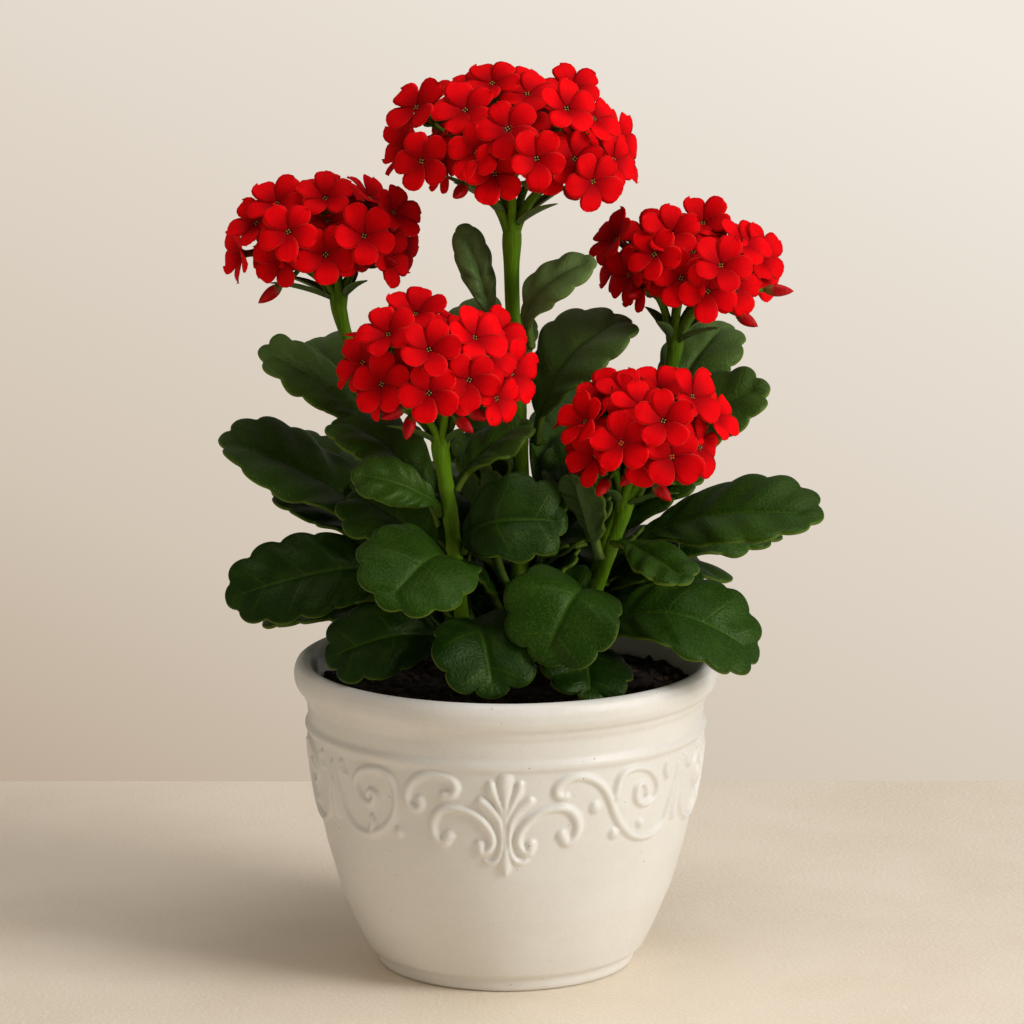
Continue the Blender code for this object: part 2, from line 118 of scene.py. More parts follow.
SOIL_TOP = 93.0
SOIL_MOUND = 2.0
SOIL_RADIUS = 62.3
SOIL_COLUMNS = 170
CRUMBS = 420
FIBRES = 110
FIBRE_REACH = 58

# Flower stalks: x, y, height and radius from the bottom up.
STALKS = {
    1: [(2, 5, 84, 3.2), (4.6, 4, 130, 3.1), (5, 3, 168, 3), (2.2, 1, 222, 2.8), (2.2, 0, 250, 3.3)],
    2: [(-11, 3, 84, 2.7), (-23, 8, 130, 2.6), (-40, 13, 175, 2.5), (-52.5, 14, 208, 2.4),
        (-56.5, 14, 226, 2.7)],
    3: [(-10, -14, 84, 2.9), (-14.4, -22.5, 122, 2.8), (-18, -30, 158, 2.7), (-22.2, -34, 186, 2.8)],
    4: [(14, 6, 84, 2.7), (28, 9, 125, 2.6), (44, 12, 168, 2.5), (53.6, 13, 195, 2.4),
        (57.4, 14, 212, 2.7)],
    5: [(12, -10, 84, 2.5), (28, -23.5, 126, 2.4), (35.2, -28, 148, 2.3), (41, -30, 166, 2.6)],
}

# Flower heads: centre of the dome, half width, height above and depth below the centre.
HEADS = {
    1: ((2.4, 0, 266), 44.5, 32.5, 12),
    2: ((-59, 14, 236), 34, 25.5, 10),
    3: ((-24, -36, 198), 34, 30, 11),
    4: ((60, 14, 226), 33, 25, 11),
    5: ((43.5, -32, 177), 30.5, 28, 10),
}
# Which way the florets on the front look: degrees to the right of the front, and down from straight up.
FLORETS = {
    1: [(-3, 48), (-20, 64), (11, 72), (36, 71), (-10, 85), (41, 101), (67, 79), (-51, 78), (-78, 65),
        (-73, 42), (-38, 32), (21, 15), (-29, 15), (53, 45), (33, 39), (92, 65)],
    2: [(2, 80), (-36, 93), (-85, 97), (-24, 59), (29, 63), (2, 25), (69, 46), (92, 83), (-62, 53),
        (-50, 34)],
    3: [(0, 50), (0, 80), (-38, 75), (30, 71), (-71, 61), (60, 53), (92, 76), (-43, 13), (-73, 31),
        (52, 20), (-40, 40), (44, 42)],
    4: [(-8, 70), (13, 89), (21, 62), (41, 90), (-64, 74), (78, 75), (-26, 25), (-30, 50), (61, 40),
        (-84, 46), (-82, 28), (78, 55)],
    5: [(-18, 71), (18, 55), (25, 83), (-3, 31), (-65, 58), (-50, 85), (73, 40), (71, 80), (93, 63),
        (-90, 29), (-60, 15), (6, 82)],
}
# Buds and narrow leaves under the heads, from the head's centre.
BUDS = {
    1: [(-17, -20, -6), (7.4, -20, -4.4), (19, -20, -6.7), (-12, 22, -6), (16, 20, -5), (30, 8, -4)],
    2: [(20.5, -15.7, -1.4), (-17.7, -15.7, -12), (10.4, -15.7, -2), (-8, 16, -6), (14, 14, -6)],
    3: [(-11.6, -15.3, -4.4), (-6.6, -15.3, -9), (15.6, -15.3, -5), (10.9, -15.3, -8), (-14, 12, -7),
        (8, 16, -7)],
    4: [(29, -14, -1), (-17.8, -14.9, -2), (18.7, -14.9, -10.6), (-12, 15, -6), (12, 16, -7)],
    5: [(-12.4, -13.7, -8.4), (-3.8, -13.7, -5), (6.5, -13.7, -10), (-10, 14, -6), (12, 12, -7)],
}
BRACTS = {
    1: [(-24, -20, 0), (-19, -19, -3), (14.4, -18, -10), (20, 16, -8), (-16, 18, -8)],
    2: [(-18, -10, -9), (14, -12, -8), (10, 16, -9), (-14, 12, -10)],
    3: [(-14, -12, -9), (14, -10, -10), (4, 16, -10)],
    4: [(-11, -15, -11), (10, -16, -13), (-14, 10, -10), (14, 12, -10)],
    5: [(-12, -10, -10), (12, -10, -11), (2, 15, -10)],
}
FLORET_COUNT = {1: 40, 2: 28, 3: 30, 4: 27, 5: 25}
# Florets deeper inside a head, seen through the gaps between the outer ones.
INNER_FLORETS = 14
# Places tried for each floret, of which the one that cuts least through its neighbours is taken.
FLORET_TRIES = 14
FLORET_RADIUS = 10.3
FLORET_SPACING = 13.5
SPIRAL_WAYS = 160
# How far the florets' middles lie inside a head's outline at its sides and top, and below its lower edge.
SIDE_INSET, TOP_INSET, SKIRT = 5.5, 3.5, 5
THROAT_RADIUS = 1.0
ANTHER_RADIUS = 0.33
HUBS = 7

# Leaves: stalk, height on it, tip, full width, rise of the midrib, roll in degrees, petiole share.
LEAVES = {
    # front and sides, from the left round to the right
    "leaf_01": (2, 171.9, (-80.0, -2.2, 205.0), 23.8, 5.9, 43.0, 0.18),
    "leaf_02": (2, 136.6, (-93.4, 3.0, 174.8), 39.7, 5.1, 23.3, 0.16),
    "leaf_03": (2, 128.0, (-90.0, -24.0, 127.0), 29.0, 14.3, 52.0, 0.18),
    "leaf_04": (3, 112.1, (-57.3, -34.9, 109.4), 26.8, 10.1, 46.2, 0.12),
    "leaf_05": (2, 124.8, (-77.0, 30.4, 152.2), 26.0, 4.3, 7.5, 0.18),
    "leaf_06": (3, 155.0, (-55.0, -10.0, 183.0), 28.0, 8.1, 15.0, 0.14),
    "leaf_07": (3, 159.0, (-49.0, -43.0, 172.0), 16.0, 6.5, 62.0, 0.14),
    "leaf_08": (3, 134.0, (-38.0, -67.0, 134.0), 38.0, 14.2, 24.0, 0.14),
    "leaf_09": (3, 117.0, (-4.0, -60.0, 103.5), 34.0, 13.0, -4.0, 0.14),
    "leaf_10": (5, 126.0, (12.0, -57.0, 114.0), 37.0, 16.0, 21.0, 0.10),
    "leaf_11": (5, 107.0, (27.0, -52.0, 100.0), 29.0, 7.8, 8.0, 0.14),
    "leaf_12": (3, 146.0, (19.0, -46.0, 157.0), 29.0, 12.2, -60.0, 0.12),
    "leaf_13": (3, 167.0, (8.0, -23.0, 185.0), 22.0, 3.1, -15.0, 0.14),
    "leaf_14": (1, 131.0, (-7.0, -8.0, 169.0), 26.0, -1.8, 18.0, 0.20),
    "leaf_15": (5, 145.0, (22.0, -39.0, 171.0), 18.0, 0.9, -1.0, 0.14),
    "leaf_16": (5, 147.0, (58.0, -55.0, 139.0), 19.0, 2.2, -13.0, 0.12),
    "leaf_17": (4, 134.4, (102.2, -21.5, 153.5), 36.8, 8.4, -24.3, 0.16),
    "leaf_18": (5, 112.0, (81.0, -34.0, 110.0), 37.0, 16.0, -29.0, 0.14),
    "leaf_19": (4, 155.6, (85.5, -0.5, 193.1), 30.1, 7.8, -41.5, 0.18),
    "leaf_20": (1, 139.9, (47.3, 40.1, 161.0), 25.8, 2.8, -20.4, 0.20),
    "leaf_21": (1, 176.0, (40.0, 13.0, 213.0), 35.0, 9.7, -20.0, 0.14),
    "leaf_22": (1, 186.9, (4.4, 24.5, 212.7), 14.9, 4.6, 21.3, 0.20),
    "leaf_23": (1, 213.4, (-14.3, 8.8, 245.4), 11.5, 4.0, 52.6, 0.14),
    "leaf_24": (1, 209.0, (29.0, -10.0, 236.0), 16.0, 10.0, -55.0, 0.16),
    # behind
    "leaf_25": (1, 134.0, (-20.0, 86.0, 152.0), 30.0, 11.0, 18.0, 0.16),
    "leaf_26": (1, 116.0, (22.0, 92.0, 128.0), 32.0, 12.0, -14.0, 0.16),
    "leaf_27": (2, 112.0, (-62.0, 66.0, 122.0), 32.0, 12.0, 16.0, 0.16),
    "leaf_28": (2, 166.0, (-66.0, 58.0, 198.0), 27.0, 8.0, 24.0, 0.16),
    "leaf_29": (4, 114.0, (70.0, 62.0, 118.0), 32.0, 12.0, -18.0, 0.16),
    "leaf_30": (4, 142.1, (68.9, 69.8, 171.1), 29.0, 2.8, -0.6, 0.16),
    "leaf_31": (1, 160.0, (-22.0, 62.0, 192.0), 27.0, 9.0, 20.0, 0.16),
    "leaf_32": (1, 148.0, (30.0, 66.0, 182.0), 28.0, 9.0, -18.0, 0.16),
    "leaf_33": (2, 103.0, (-80.0, 24.0, 110.0), 30.0, 11.0, 14.0, 0.16),
    "leaf_34": (4, 104.0, (84.0, 18.0, 108.0), 30.0, 11.0, -14.0, 0.16),
    "leaf_35": (2, 141.1, (-86.6, 58.9, 162.5), 27.9, 7.0, 20.0, 0.16),
    "leaf_36": (4, 124.0, (90.0, 40.0, 138.0), 30.0, 9.0, -24.0, 0.16),
    "leaf_37": (1, 178.0, (-12.0, 46.0, 214.0), 22.0, 7.0, 22.0, 0.16),
    "leaf_38": (4, 172.0, (74.0, 46.0, 206.0), 24.0, 7.0, -22.0, 0.16),
    "leaf_39": (1, 104.0, (-10.0, 84.0, 112.0), 31.0, 12.0, -12.0, 0.16),
    "leaf_40": (4, 101.0, (50.0, 76.0, 108.0), 31.0, 11.0, 14.0, 0.16),
    # inside, low between the stalks
    "leaf_41": (2, 111.6, (-50.6, -1.2, 134.1), 24.6, 3.1, 20.8, 0.16),
    "leaf_42": (1, 111.9, (-29.4, 37.0, 138.6), 27.8, 4.5, 10.1, 0.16),
    "leaf_43": (1, 108.0, (29.8, -3.8, 126.8), 26.6, 7.3, -36.3, 0.16),
    "leaf_44": (4, 112.0, (66.0, 0.0, 124.0), 28.0, 7.0, -15.0, 0.16),
    "leaf_45": (3, 102.0, (-46.0, -6.0, 112.0), 26.0, 6.0, 10.0, 0.16),
    "leaf_46": (1, 133.0, (26.7, 1.7, 171.3), 23.8, 4.0, -20.4, 0.16),
}
# Leaves painted a deeper green, with less wax, as painted shade where other leaves shade them.
SHADE_PAINTED_LEAVES = {"leaf_03", "leaf_04", "leaf_09", "leaf_11", "leaf_12", "leaf_05", "leaf_41", "leaf_45"}
# Small crowded leaves between the stalks, seen from the front.
CROWDED = [
    (3, 140, (-50, -4, 158), 30, 3, 25, 0.14), (3, 122, (-48, -4, 132), 30, 4, 25, 0.14),
    (1, 118, (-22, -2, 142), 27, 2, 10, 0.14), (1, 150, (-16, 6, 176), 24, 2, 15, 0.16),
    (1, 112, (24, 2, 138), 28, 3, -10, 0.14), (1, 128, (34, 6, 156), 28, 3, -20, 0.16),
    (4, 118, (58, 4, 142), 28, 3, -20, 0.16), (1, 101, (10, 14, 122), 28, 2, 0, 0.16),
]
LEAF_STANDOFF = 1.2
LEAF_THICKNESS = 1.7
PETIOLE_HALF_WIDTH = 1.7
PETIOLE_THICKNESS = 2.8
LOBE_HEIGHT = 2.6
BLADE_ROWS = 73
VEIN_END = 0.90
FOLD = 0.16
EDGE_CURL = 2.0


def ease(share):
    """0 below 0, 1 above 1, and 3 s^2 - 2 s^3 between them."""
    share = np.clip(share, 0, 1)
    return share * share * (3 - 2 * share)


def unit(vectors):
    return vectors / np.linalg.norm(vectors, axis=-1, keepdims=True)


def noise(points, size, seed=0):
    """Smooth random numbers from -1 to 1: hashed values on a cubic lattice of that size, eased between."""
    places = np.asarray(points, float) / size + 100
    cell = np.floor(places)
    within = places - cell
    within = within * within * (3 - 2 * within)
    total = 0
    for corner in itertools.product((0, 1), repeat=3):
        hashed = np.sin((cell + corner) @ (127.1, 311.7, 74.7) + 17.3 * seed) * 43758.5453
        weight = np.prod(np.where(corner, within, 1 - within), axis=-1)
        total = total + weight * (hashed - np.floor(hashed))
    return total * 2 - 1


def along(stations, count):
    """Evenly spaced places on a smooth curve (Catmull-Rom) through stations of any number of values."""
    knots = np.array(stations, float)
    padded = np.vstack([2 * knots[0] - knots[1], knots, 2 * knots[-1] - knots[-2]])
    places = np.linspace(0, len(knots) - 1, count)
    first = np.minimum(places.astype(int), len(knots) - 2)
    t = (places - first)[:, None]
    a, b, c, d = (padded[first + k] for k in range(4))
    return 0.5 * (2 * b + (c - a) * t + (2 * a - 5 * b + 4 * c - d) * t**2 + (3 * b - a - 3 * c + d) * t**3)


def bent(start, control, end, count):
    """Places on the arc from start to end that sets out towards the control point."""
    t = np.linspace(0, 1, count)[:, None]
    return (1 - t) ** 2 * np.asarray(start) + 2 * t * (1 - t) * np.asarray(control) + t**2 * np.asarray(end)


def grid(rows, columns):
    """The quads of a grid of points counted row by row, with the last column joined to the first."""
    row = np.arange(rows - 1)[:, None] * columns
    here = np.arange(columns)[None]
    after = (here + 1) % columns
    quads = [row + here, row + after, row + columns + after, row + columns + here]
    return np.stack(quads, axis=-1).reshape(-1, 4)


def skin(rows, columns):
    """Faces of a closed form made of rings: the quads between the rings and one face over each end."""
    ring = np.arange(columns)
    return [grid(rows, columns), ring[None, ::-1], (rows - 1) * columns + ring[None]]


def tint_values(*values):
    """The four tint values of each point, as rows. A value is an array, or one number for all points."""
    return np.stack(np.broadcast_arrays(*values), axis=-1).reshape(-1, 4)


def facing(turn, height):
    """The unit vector at that turn about Z and of that height."""
    level = math.sqrt(1 - height * height)
    return np.array([level * math.cos(turn), level * math.sin(turn), height])


def spokes(axis, hint):
    """A function that gives the unit vector square to the axis at any turn about it; hint sets where 0 is."""
    first = unit(np.cross(axis, hint))
    second = np.cross(axis, first)
    return lambda turn: np.cos(turn) * first + np.sin(turn) * second


class Shapes:
    """Closed surfaces gathered into one piece: points in mm, faces, and four tint values at each point."""

    def __init__(self):
        self.points, self.faces, self.tints, self.total = [], [], [], 0

    def add(self, points, faces, tint=(0, 0, 0, 0)):
        points = np.asarray(points, float).reshape(-1, 3)
        middle = points - points.mean(axis=0)
        volume = 0
        for block in faces:
            for k in range(1, block.shape[1] - 1):
                a, b, c = (middle[block[:, i]] for i in (0, k, k + 1))
                volume += np.einsum("ij,ij->", a, np.cross(b, c))
        for block in faces:
            block = block if volume > 0 else block[:, ::-1]
            self.faces += (block + self.total).tolist()
        self.points.append(points)
        self.tints.append(np.broadcast_to(tint, (len(points), 4)))
        self.total += len(points)

    def piece(self, name, material, slot, replaced=None):
        """Makes the object, welds points that coincide, hangs it on the root body and hides the imported part
        it replaces, if one is given.
        """
        mesh = bpy.data.meshes.new(name)
        mesh.from_pydata(np.concatenate(self.points) * MM, [], self.faces)
        tints = mesh.color_attributes.new("tint", "FLOAT_COLOR", "POINT")
        tints.data.foreach_set("color", np.concatenate(self.tints).astype(np.float32).ravel())
        shape = bmesh.new()
        shape.from_mesh(mesh)
        bmesh.ops.remove_doubles(shape, verts=shape.verts, dist=2e-7)
        shape.to_mesh(mesh)
        shape.free()
        mesh.polygons.foreach_set("use_smooth", [True] * len(mesh.polygons))
        mesh.materials.append(material)
        made = bpy.data.objects.new(name, mesh)
        bpy.context.scene.collection.objects.link(made)
        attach(made, "root")
        if replaced:
            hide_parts(replaced)


def tube(line, radii, sides):
    """Rings round a line of centres: centre + radius * (across * cos a + over * sin a) at the angle a."""
    line = np.asarray(line, float)
    tangent = unit(np.gradient(line, axis=0))
    level = np.eye(3)[np.argmin(np.abs(tangent).max(axis=0))]
    across = unit(np.cross(tangent, level))
    over = np.cross(tangent, across)
    turn = np.arange(sides)[:, None] * 2 * PI / sides
    radii = np.broadcast_to(radii, (len(line),))[:, None, None]
    return line[:, None] + radii * (np.cos(turn) * across[:, None] + np.sin(turn) * over[:, None])


def over_and_under(top):
    """Places v from one margin of a blade over its top to the other and back underneath, and its layer there:
    1 on top and -1 underneath."""
    return np.concatenate([top, top[-2:0:-1]]), np.repeat([1.0, -1.0], [len(top), len(top) - 2])


def blade_shares(columns):
    """v = sin(pi / 2 * s) for even steps s from -1 to 1, over and under."""
    return over_and_under(np.sin(np.linspace(-1, 1, columns) * PI / 2))


def lens(spine, side, up, half_width, thickness, lift, shares):
    """Rings of a blade: spine + side * v * half width + up * (lift + layer * thickness * sqrt(1 - v^2))."""
    v, layer = shares
    height = lift + layer * np.asarray(thickness)[:, None] * np.sqrt(np.maximum(1 - v**2, 0))
    side, up = (np.broadcast_to(way, (len(spine), 3))[:, None] for way in (side, up))
    return spine[:, None] + side * (v * np.asarray(half_width)[:, None])[..., None] + up * height[..., None]


# ---------------------------------------------------------------- materials


class Look:
    """A material and its node graph. Numbers that are the same all over are set on the shader itself."""

    def __init__(self, name, **constants):
        self.material = bpy.data.materials.new(name)
        self.material.use_nodes = True
        self.tree = self.material.node_tree
        self.shader = self.tree.nodes["Principled BSDF"]
        for socket, value in constants.items():
            self.shader.inputs[socket.replace("_", " ")].default_value = value
        self.place = self.node("TexCoord", {}).outputs["Object"]
        tint = self.node("Attribute", {}, attribute_name="tint")
        self.tint = self.node("SeparateColor", {0: tint.outputs["Color"]}).outputs
        self.alpha = tint.outputs["Alpha"]

    def node(self, kind, inputs, **settings):
        made = self.tree.nodes.new("ShaderNode" + kind)
        for key, value in settings.items():
            setattr(made, key, value)
        for key, value in inputs.items():
            if isinstance(value, bpy.types.NodeSocket):
                self.tree.links.new(value, made.inputs[key])
            else:
                made.inputs[key].default_value = value
        return made

    def noise(self, size, detail=2.0, stretch=(1, 1, 1)):
        """Soft random values about 0.5, with features of that size in mm, longer where stretch is above 1."""
        placed = self.node("Mapping", {0: self.place, 3: [1 / MM / size / s for s in stretch]})
        inputs = {"Vector": placed.outputs[0], "Scale": 1.0, "Detail": detail}
        return self.node("TexNoise", inputs).outputs[0]

    def cells(self, size):
        """Distance to the nearest of random points about that many mm apart."""
        placed = self.node("Mapping", {0: self.place, 3: [1 / MM / size] * 3})
        return self.node("TexVoronoi", {"Vector": placed.outputs[0], "Scale": 1.0}).outputs[0]

    def span(self, value, low, high, to_low=0.0, to_high=1.0):
        inputs = {0: value, 1: low, 2: high, 3: to_low, 4: to_high}
        return self.node("MapRange", inputs, interpolation_type="SMOOTHSTEP").outputs[0]

    def patches(self, size, detail, low, high, stretch=(1, 1, 1)):
        """Noise of that size, 0 where it is below low, 1 above high and eased between."""
        return self.span(self.noise(size, detail, stretch), low, high)

    def maths(self, how, *values):
        return self.node("Math", dict(enumerate(values)), operation=how).outputs[0]

    def mix(self, share, first, second):
        colours = [(*c, 1.0) if isinstance(c, tuple) else c for c in (first, second)]
        return self.node("Mix", {0: share, 6: colours[0], 7: colours[1]}, data_type="RGBA").outputs[2]

    def over(self, colour, where, strength, added):
        """The colour with another laid over it at that strength, where the first share lets it."""
        return self.mix(self.maths("MULTIPLY", where, strength), colour, added)

    def finish(self, colour, roughness, *bumps):
        """Links colour, roughness and a chain of Bumps, each a height, its size in mm and a strength."""
        self.tree.links.new(colour, self.shader.inputs["Base Color"])
        self.tree.links.new(roughness, self.shader.inputs["Roughness"])
        normal = None
        for height, distance, strength in bumps:
            inputs = {"Height": height, "Distance": distance * MM, "Strength": strength}
            if normal:
                inputs["Normal"] = normal
            normal = self.node("Bump", inputs).outputs[0]
        self.tree.links.new(normal, self.shader.inputs["Normal"])
        return self.material


def glaze_look():
    """Cream-white satin glaze: warm clouds, lighter on the raised pattern, partly where the glaze runs
    thinner on its edges and partly as painted shade left in the hollows between, pinholes and specks.
    """
    look = Look("satin_glaze", IOR=1.5, Coat_Weight=0.12, Coat_Roughness=0.3)
    cloud = look.patches(30, 2.0, 0.3, 0.7)
    colour = look.mix(cloud, (0.765, 0.750, 0.705), (0.800, 0.788, 0.750))
    mottle = look.patches(2.2, 4.0, 0.35, 0.7)
    colour = look.over(colour, mottle, 0.30, (0.84, 0.825, 0.78))
    sand = look.patches(0.55, 2.0, 0.60, 0.74)
    colour = look.over(colour, sand, 0.22, (0.56, 0.50, 0.42))
    # Raised pattern painted lighter: partly thinner glaze on its edges, partly painted shade left in the
    # hollows between.
    raised = look.span(look.tint[0], 0.25, 0.95)
    colour = look.over(colour, raised, 0.4, (0.84, 0.83, 0.79))
    specks = look.span(look.cells(5.2), 0.035, 0.075, 1.0, 0.0)
    patchy = look.patches(14, 1.0, 0.45, 0.6)
    colour = look.over(colour, look.maths("MULTIPLY", specks, patchy), 0.7, (0.30, 0.22, 0.15))
    rough = look.span(look.noise(9, 3.0), 0.3, 0.7, 0.36, 0.50)
    waves = look.noise(7, 2.0)
    skin_grain = look.noise(0.8, 2.0)
    return look.finish(colour, rough, (waves, 0.5, 0.25), (skin_grain, 0.08, 0.22), (specks, -0.15, 0.5))


def soil_look():
    """Damp peat: near-black crumbs with lighter brown fibres; the tint's first value lightens a piece."""
    look = Look("potting_soil", IOR=1.4)
    colour = look.mix(look.patches(2.4, 4.0, 0.35, 0.7), (0.007, 0.0035, 0.002), (0.030, 0.016, 0.009))
    fibre = look.patches(1.1, 2.0, 0.62, 0.72, (1, 5, 1))
    colour = look.over(colour, fibre, 0.6, (0.065, 0.036, 0.019))
    colour = look.over(colour, look.tint[0], 0.75, (0.075, 0.044, 0.025))
    rough = look.span(look.noise(3, 2.0), 0.3, 0.7, 0.75, 0.98)
    return look.finish(colour, rough, (look.noise(1.3, 4.0), 0.8, 0.6), (look.noise(0.4, 2.0), 0.2, 0.5))


def leaf_look():
    """Waxy leaf: deep green, painted lighter high on the plant as painted light on the upper leaves, partly
    paler young growth, and painted darker low between the stalks as painted shade, with paler pebbled wax,
    pale midrib and side veins, a yellow-green rim and a greyer underside.

    The tint holds the lobes counted along the margin, with 10 added on a leaf painted a deeper green as
    painted shade, the share from midrib to margin, the distance from the margin in mm and, in the alpha, 1 on
    the underside.
    """
    look = Look("waxy_leaf", IOR=1.42, Specular_IOR_Level=0.24, Specular_Tint=(0.75, 1.0, 0.5, 1))
    lobes, across, inland = look.tint
    patches = look.patches(34, 2.0, 0.3, 0.7)
    colour = look.mix(patches, (0.008, 0.031, 0.0008), (0.018, 0.056, 0.0020))
    high = look.node("SeparateXYZ", {0: look.place}).outputs[2]
    # Painted light: leaves higher on the plant painted lighter in two steps, partly paler young growth.
    colour = look.mix(look.span(high, 0.130, 0.230, 0.0, 0.85), colour, (0.052, 0.096, 0.015))
    colour = look.mix(look.span(high, 0.185, 0.235, 0.0, 0.85), colour, (0.125, 0.195, 0.065))
    # Painted shade: leaves low on the plant painted darker.
    colour = look.mix(look.span(high, 0.100, 0.132, 0.55, 0.0), colour, (0.005, 0.022, 0.0006))
    # Painted shade: the listed shaded leaves are painted a deeper green, and their wax below is thinned.
    colour = look.mix(look.span(lobes, 8.0, 9.0, 0.0, 0.85), colour, (0.004, 0.018, 0.0005))
    wax = look.patches(0.6, 3.0, 0.44, 0.70)
    colour = look.over(colour, wax, look.span(lobes, 8.0, 9.0, 0.32, 0.07), (0.070, 0.130, 0.018))
    bloom = look.patches(7, 3.0, 0.45, 0.75)
    colour = look.over(colour, bloom, 0.20, (0.048, 0.100, 0.010))
    midrib = look.span(across, 0.01, 0.07, 1.0, 0.0)
    vein = look.maths("ABSOLUTE", look.maths("SUBTRACT", look.maths("FRACT", lobes), 0.5))
    vein = look.maths("MULTIPLY", look.span(vein, 0.0, 0.06, 1.0, 0.0), look.span(across, 0.5, 0.9, 1.0, 0.0))
    colour = look.over(colour, vein, 0.12, (0.070, 0.15, 0.012))
    colour = look.over(colour, midrib, 0.22, (0.080, 0.17, 0.014))
    colour = look.over(colour, look.alpha, 0.5, (0.080, 0.13, 0.045))
    rim = look.span(inland, 0.05, 0.5, 1.0, 0.0)
    colour = look.over(colour, rim, 0.45, (0.15, 0.22, 0.015))
    rough = look.span(wax, 0.0, 1.0, 0.36, 0.50)
    quilting, pebbles = look.noise(5.5, 2.0), look.noise(0.8, 2.0)
    return look.finish(colour, rough, (quilting, 0.8, 0.4), (pebbles, 0.30, 0.8), (vein, -0.2, 0.3))


def stalk_look():
    """Fresh green stalk: fine lengthwise streaks, paler joints; the tint's first value turns it red-brown."""
    look = Look("green_stalk", IOR=1.45, Specular_IOR_Level=0.2, Specular_Tint=(0.8, 1.0, 0.45, 1))
    colour = look.mix(look.patches(16, 2.0, 0.3, 0.7), (0.050, 0.130, 0.002), (0.088, 0.200, 0.004))
    streak = look.patches(0.9, 3.0, 0.4, 0.7, (1, 1, 14))
    colour = look.over(colour, streak, 0.4, (0.15, 0.28, 0.014))
    colour = look.mix(look.tint[1], colour, (0.17, 0.28, 0.028))
    colour = look.mix(look.tint[0], colour, (0.16, 0.020, 0.012))
    rough = look.span(streak, 0.0, 1.0, 0.42, 0.58)
    return look.finish(colour, rough, (streak, 0.12, 0.4), (look.noise(0.7, 2.0), 0.1, 0.3))


def petal_look():
    """Velvety scarlet: painted darker towards the throat as painted shade in the floret's cup, a thin lighter
    margin partly painted as a highlight along the edge, fine radial lines, duller underneath.

    The tint holds the share from throat to tip, the share from midline to margin, a random tone and, in the
    alpha, 1 on the underside.
    """
    look = Look("scarlet_petal", IOR=1.35, Specular_IOR_Level=0.06)
    reach, across, tone = look.tint
    colour = look.mix(tone, (0.64, 0.0006, 0.0030), (0.92, 0.0016, 0.0050))
    # Painted shade: darker towards the throat, in the floret's cup.
    colour = look.mix(look.span(reach, 0.08, 0.75, 0.85, 0.0), colour, (0.18, 0.0, 0.002))
    mottle = look.patches(0.9, 2.0, 0.35, 0.75)
    colour = look.over(colour, mottle, 0.14, (0.86, 0.004, 0.005))
    line = look.span(across, 0.02, 0.12, 0.16, 0.0)
    colour = look.mix(line, colour, (0.40, 0.0, 0.002))
    # Lighter margin: partly the petal's paler edge, partly a painted highlight along it.
    pale_margin_and_highlight = look.maths("MAXIMUM", look.span(across, 0.90, 1.0), look.span(reach, 0.96, 1.0))
    colour = look.over(colour, pale_margin_and_highlight, 0.45, (0.95, 0.075, 0.050))
    colour = look.over(colour, look.alpha, 0.5, (0.46, 0.003, 0.006))
    rough = look.span(mottle, 0.0, 1.0, 0.60, 0.75)
    return look.finish(colour, rough, (look.noise(0.7, 2.0), 0.12, 0.4), (look.noise(3, 1.0), 0.4, 0.25))


def centre_look():
    """Dark maroon throat with golden anthers: the tint is 1 on the anthers, then 1 on the throat's ring."""
    look = Look("floret_centre", IOR=1.4)
    dark = look.mix(look.patches(0.5, 2.0, 0.4, 0.7), (0.035, 0.002, 0.002), (0.085, 0.004, 0.003))
    colour = look.mix(look.tint[1], dark, (0.26, 0.004, 0.004))
    pollen = look.mix(look.patches(0.25, 2.0, 0.4, 0.7), (0.34, 0.15, 0.02), (0.60, 0.36, 0.07))
    colour = look.mix(look.tint[0], colour, pollen)
    rough = look.span(look.noise(0.4, 1.0), 0.3, 0.7, 0.5, 0.7)
    return look.finish(colour, rough, (look.noise(0.3, 2.0), 0.06, 0.5))


def bud_look():
    """Closed bud: scarlet, green-brown at the cup, painted a darker red in its folds as painted shade. The
    tint runs up the bud, then is high in its folds.
    """
    look = Look("closed_bud", IOR=1.4, Specular_IOR_Level=0.2)
    red = look.mix(look.patches(1.4, 2.0, 0.35, 0.7, (1, 1, 3)), (0.42, 0.001, 0.003), (0.66, 0.004, 0.006))
    # Painted shade: darker red in the folds.
    red = look.mix(look.tint[1], red, (0.22, 0.001, 0.003))
    green = look.mix(look.patches(0.9, 2.0, 0.4, 0.7), (0.10, 0.13, 0.03), (0.20, 0.20, 0.06))
    colour = look.mix(look.span(look.tint[0], 0.12, 0.42), green, red)
    rough = look.span(look.noise(2, 1.0), 0.3, 0.7, 0.36, 0.5)
    return look.finish(colour, rough, (look.noise(0.6, 2.0), 0.1, 0.35))


# ---------------------------------------------------------------- pot and soil


def pattern(place, height):
    """Height of the raised pattern, from 0 to 1, at places along the girth and heights on the pot.

    Places are counted from the nearest palmette, to its right above 0 and to its left below. Each stroke is a
    row of round pads along a smooth curve, each 1 - (distance / half width)^2 high, and the highest counts.
    """
    top = np.zeros(np.broadcast(place, height).shape)
    for side, strokes in ((0, STROKES), (1, RIGHT_STROKES), (-1, LEFT_STROKES)):
        across = side * place if side else np.abs(place)
        rows = [along(stroke, 12 * len(stroke)) for stroke in strokes] + [BALLS.get(side, [])]
        for s, z, half in itertools.chain(*rows):
            off = ((across - s) ** 2 + (height - z) ** 2) / (1.06 * half + 0.2) ** 2
            top = np.maximum(top, min(1, half / 1.1) ** 0.7 * np.clip(1 - off, 0, 1))
    return top


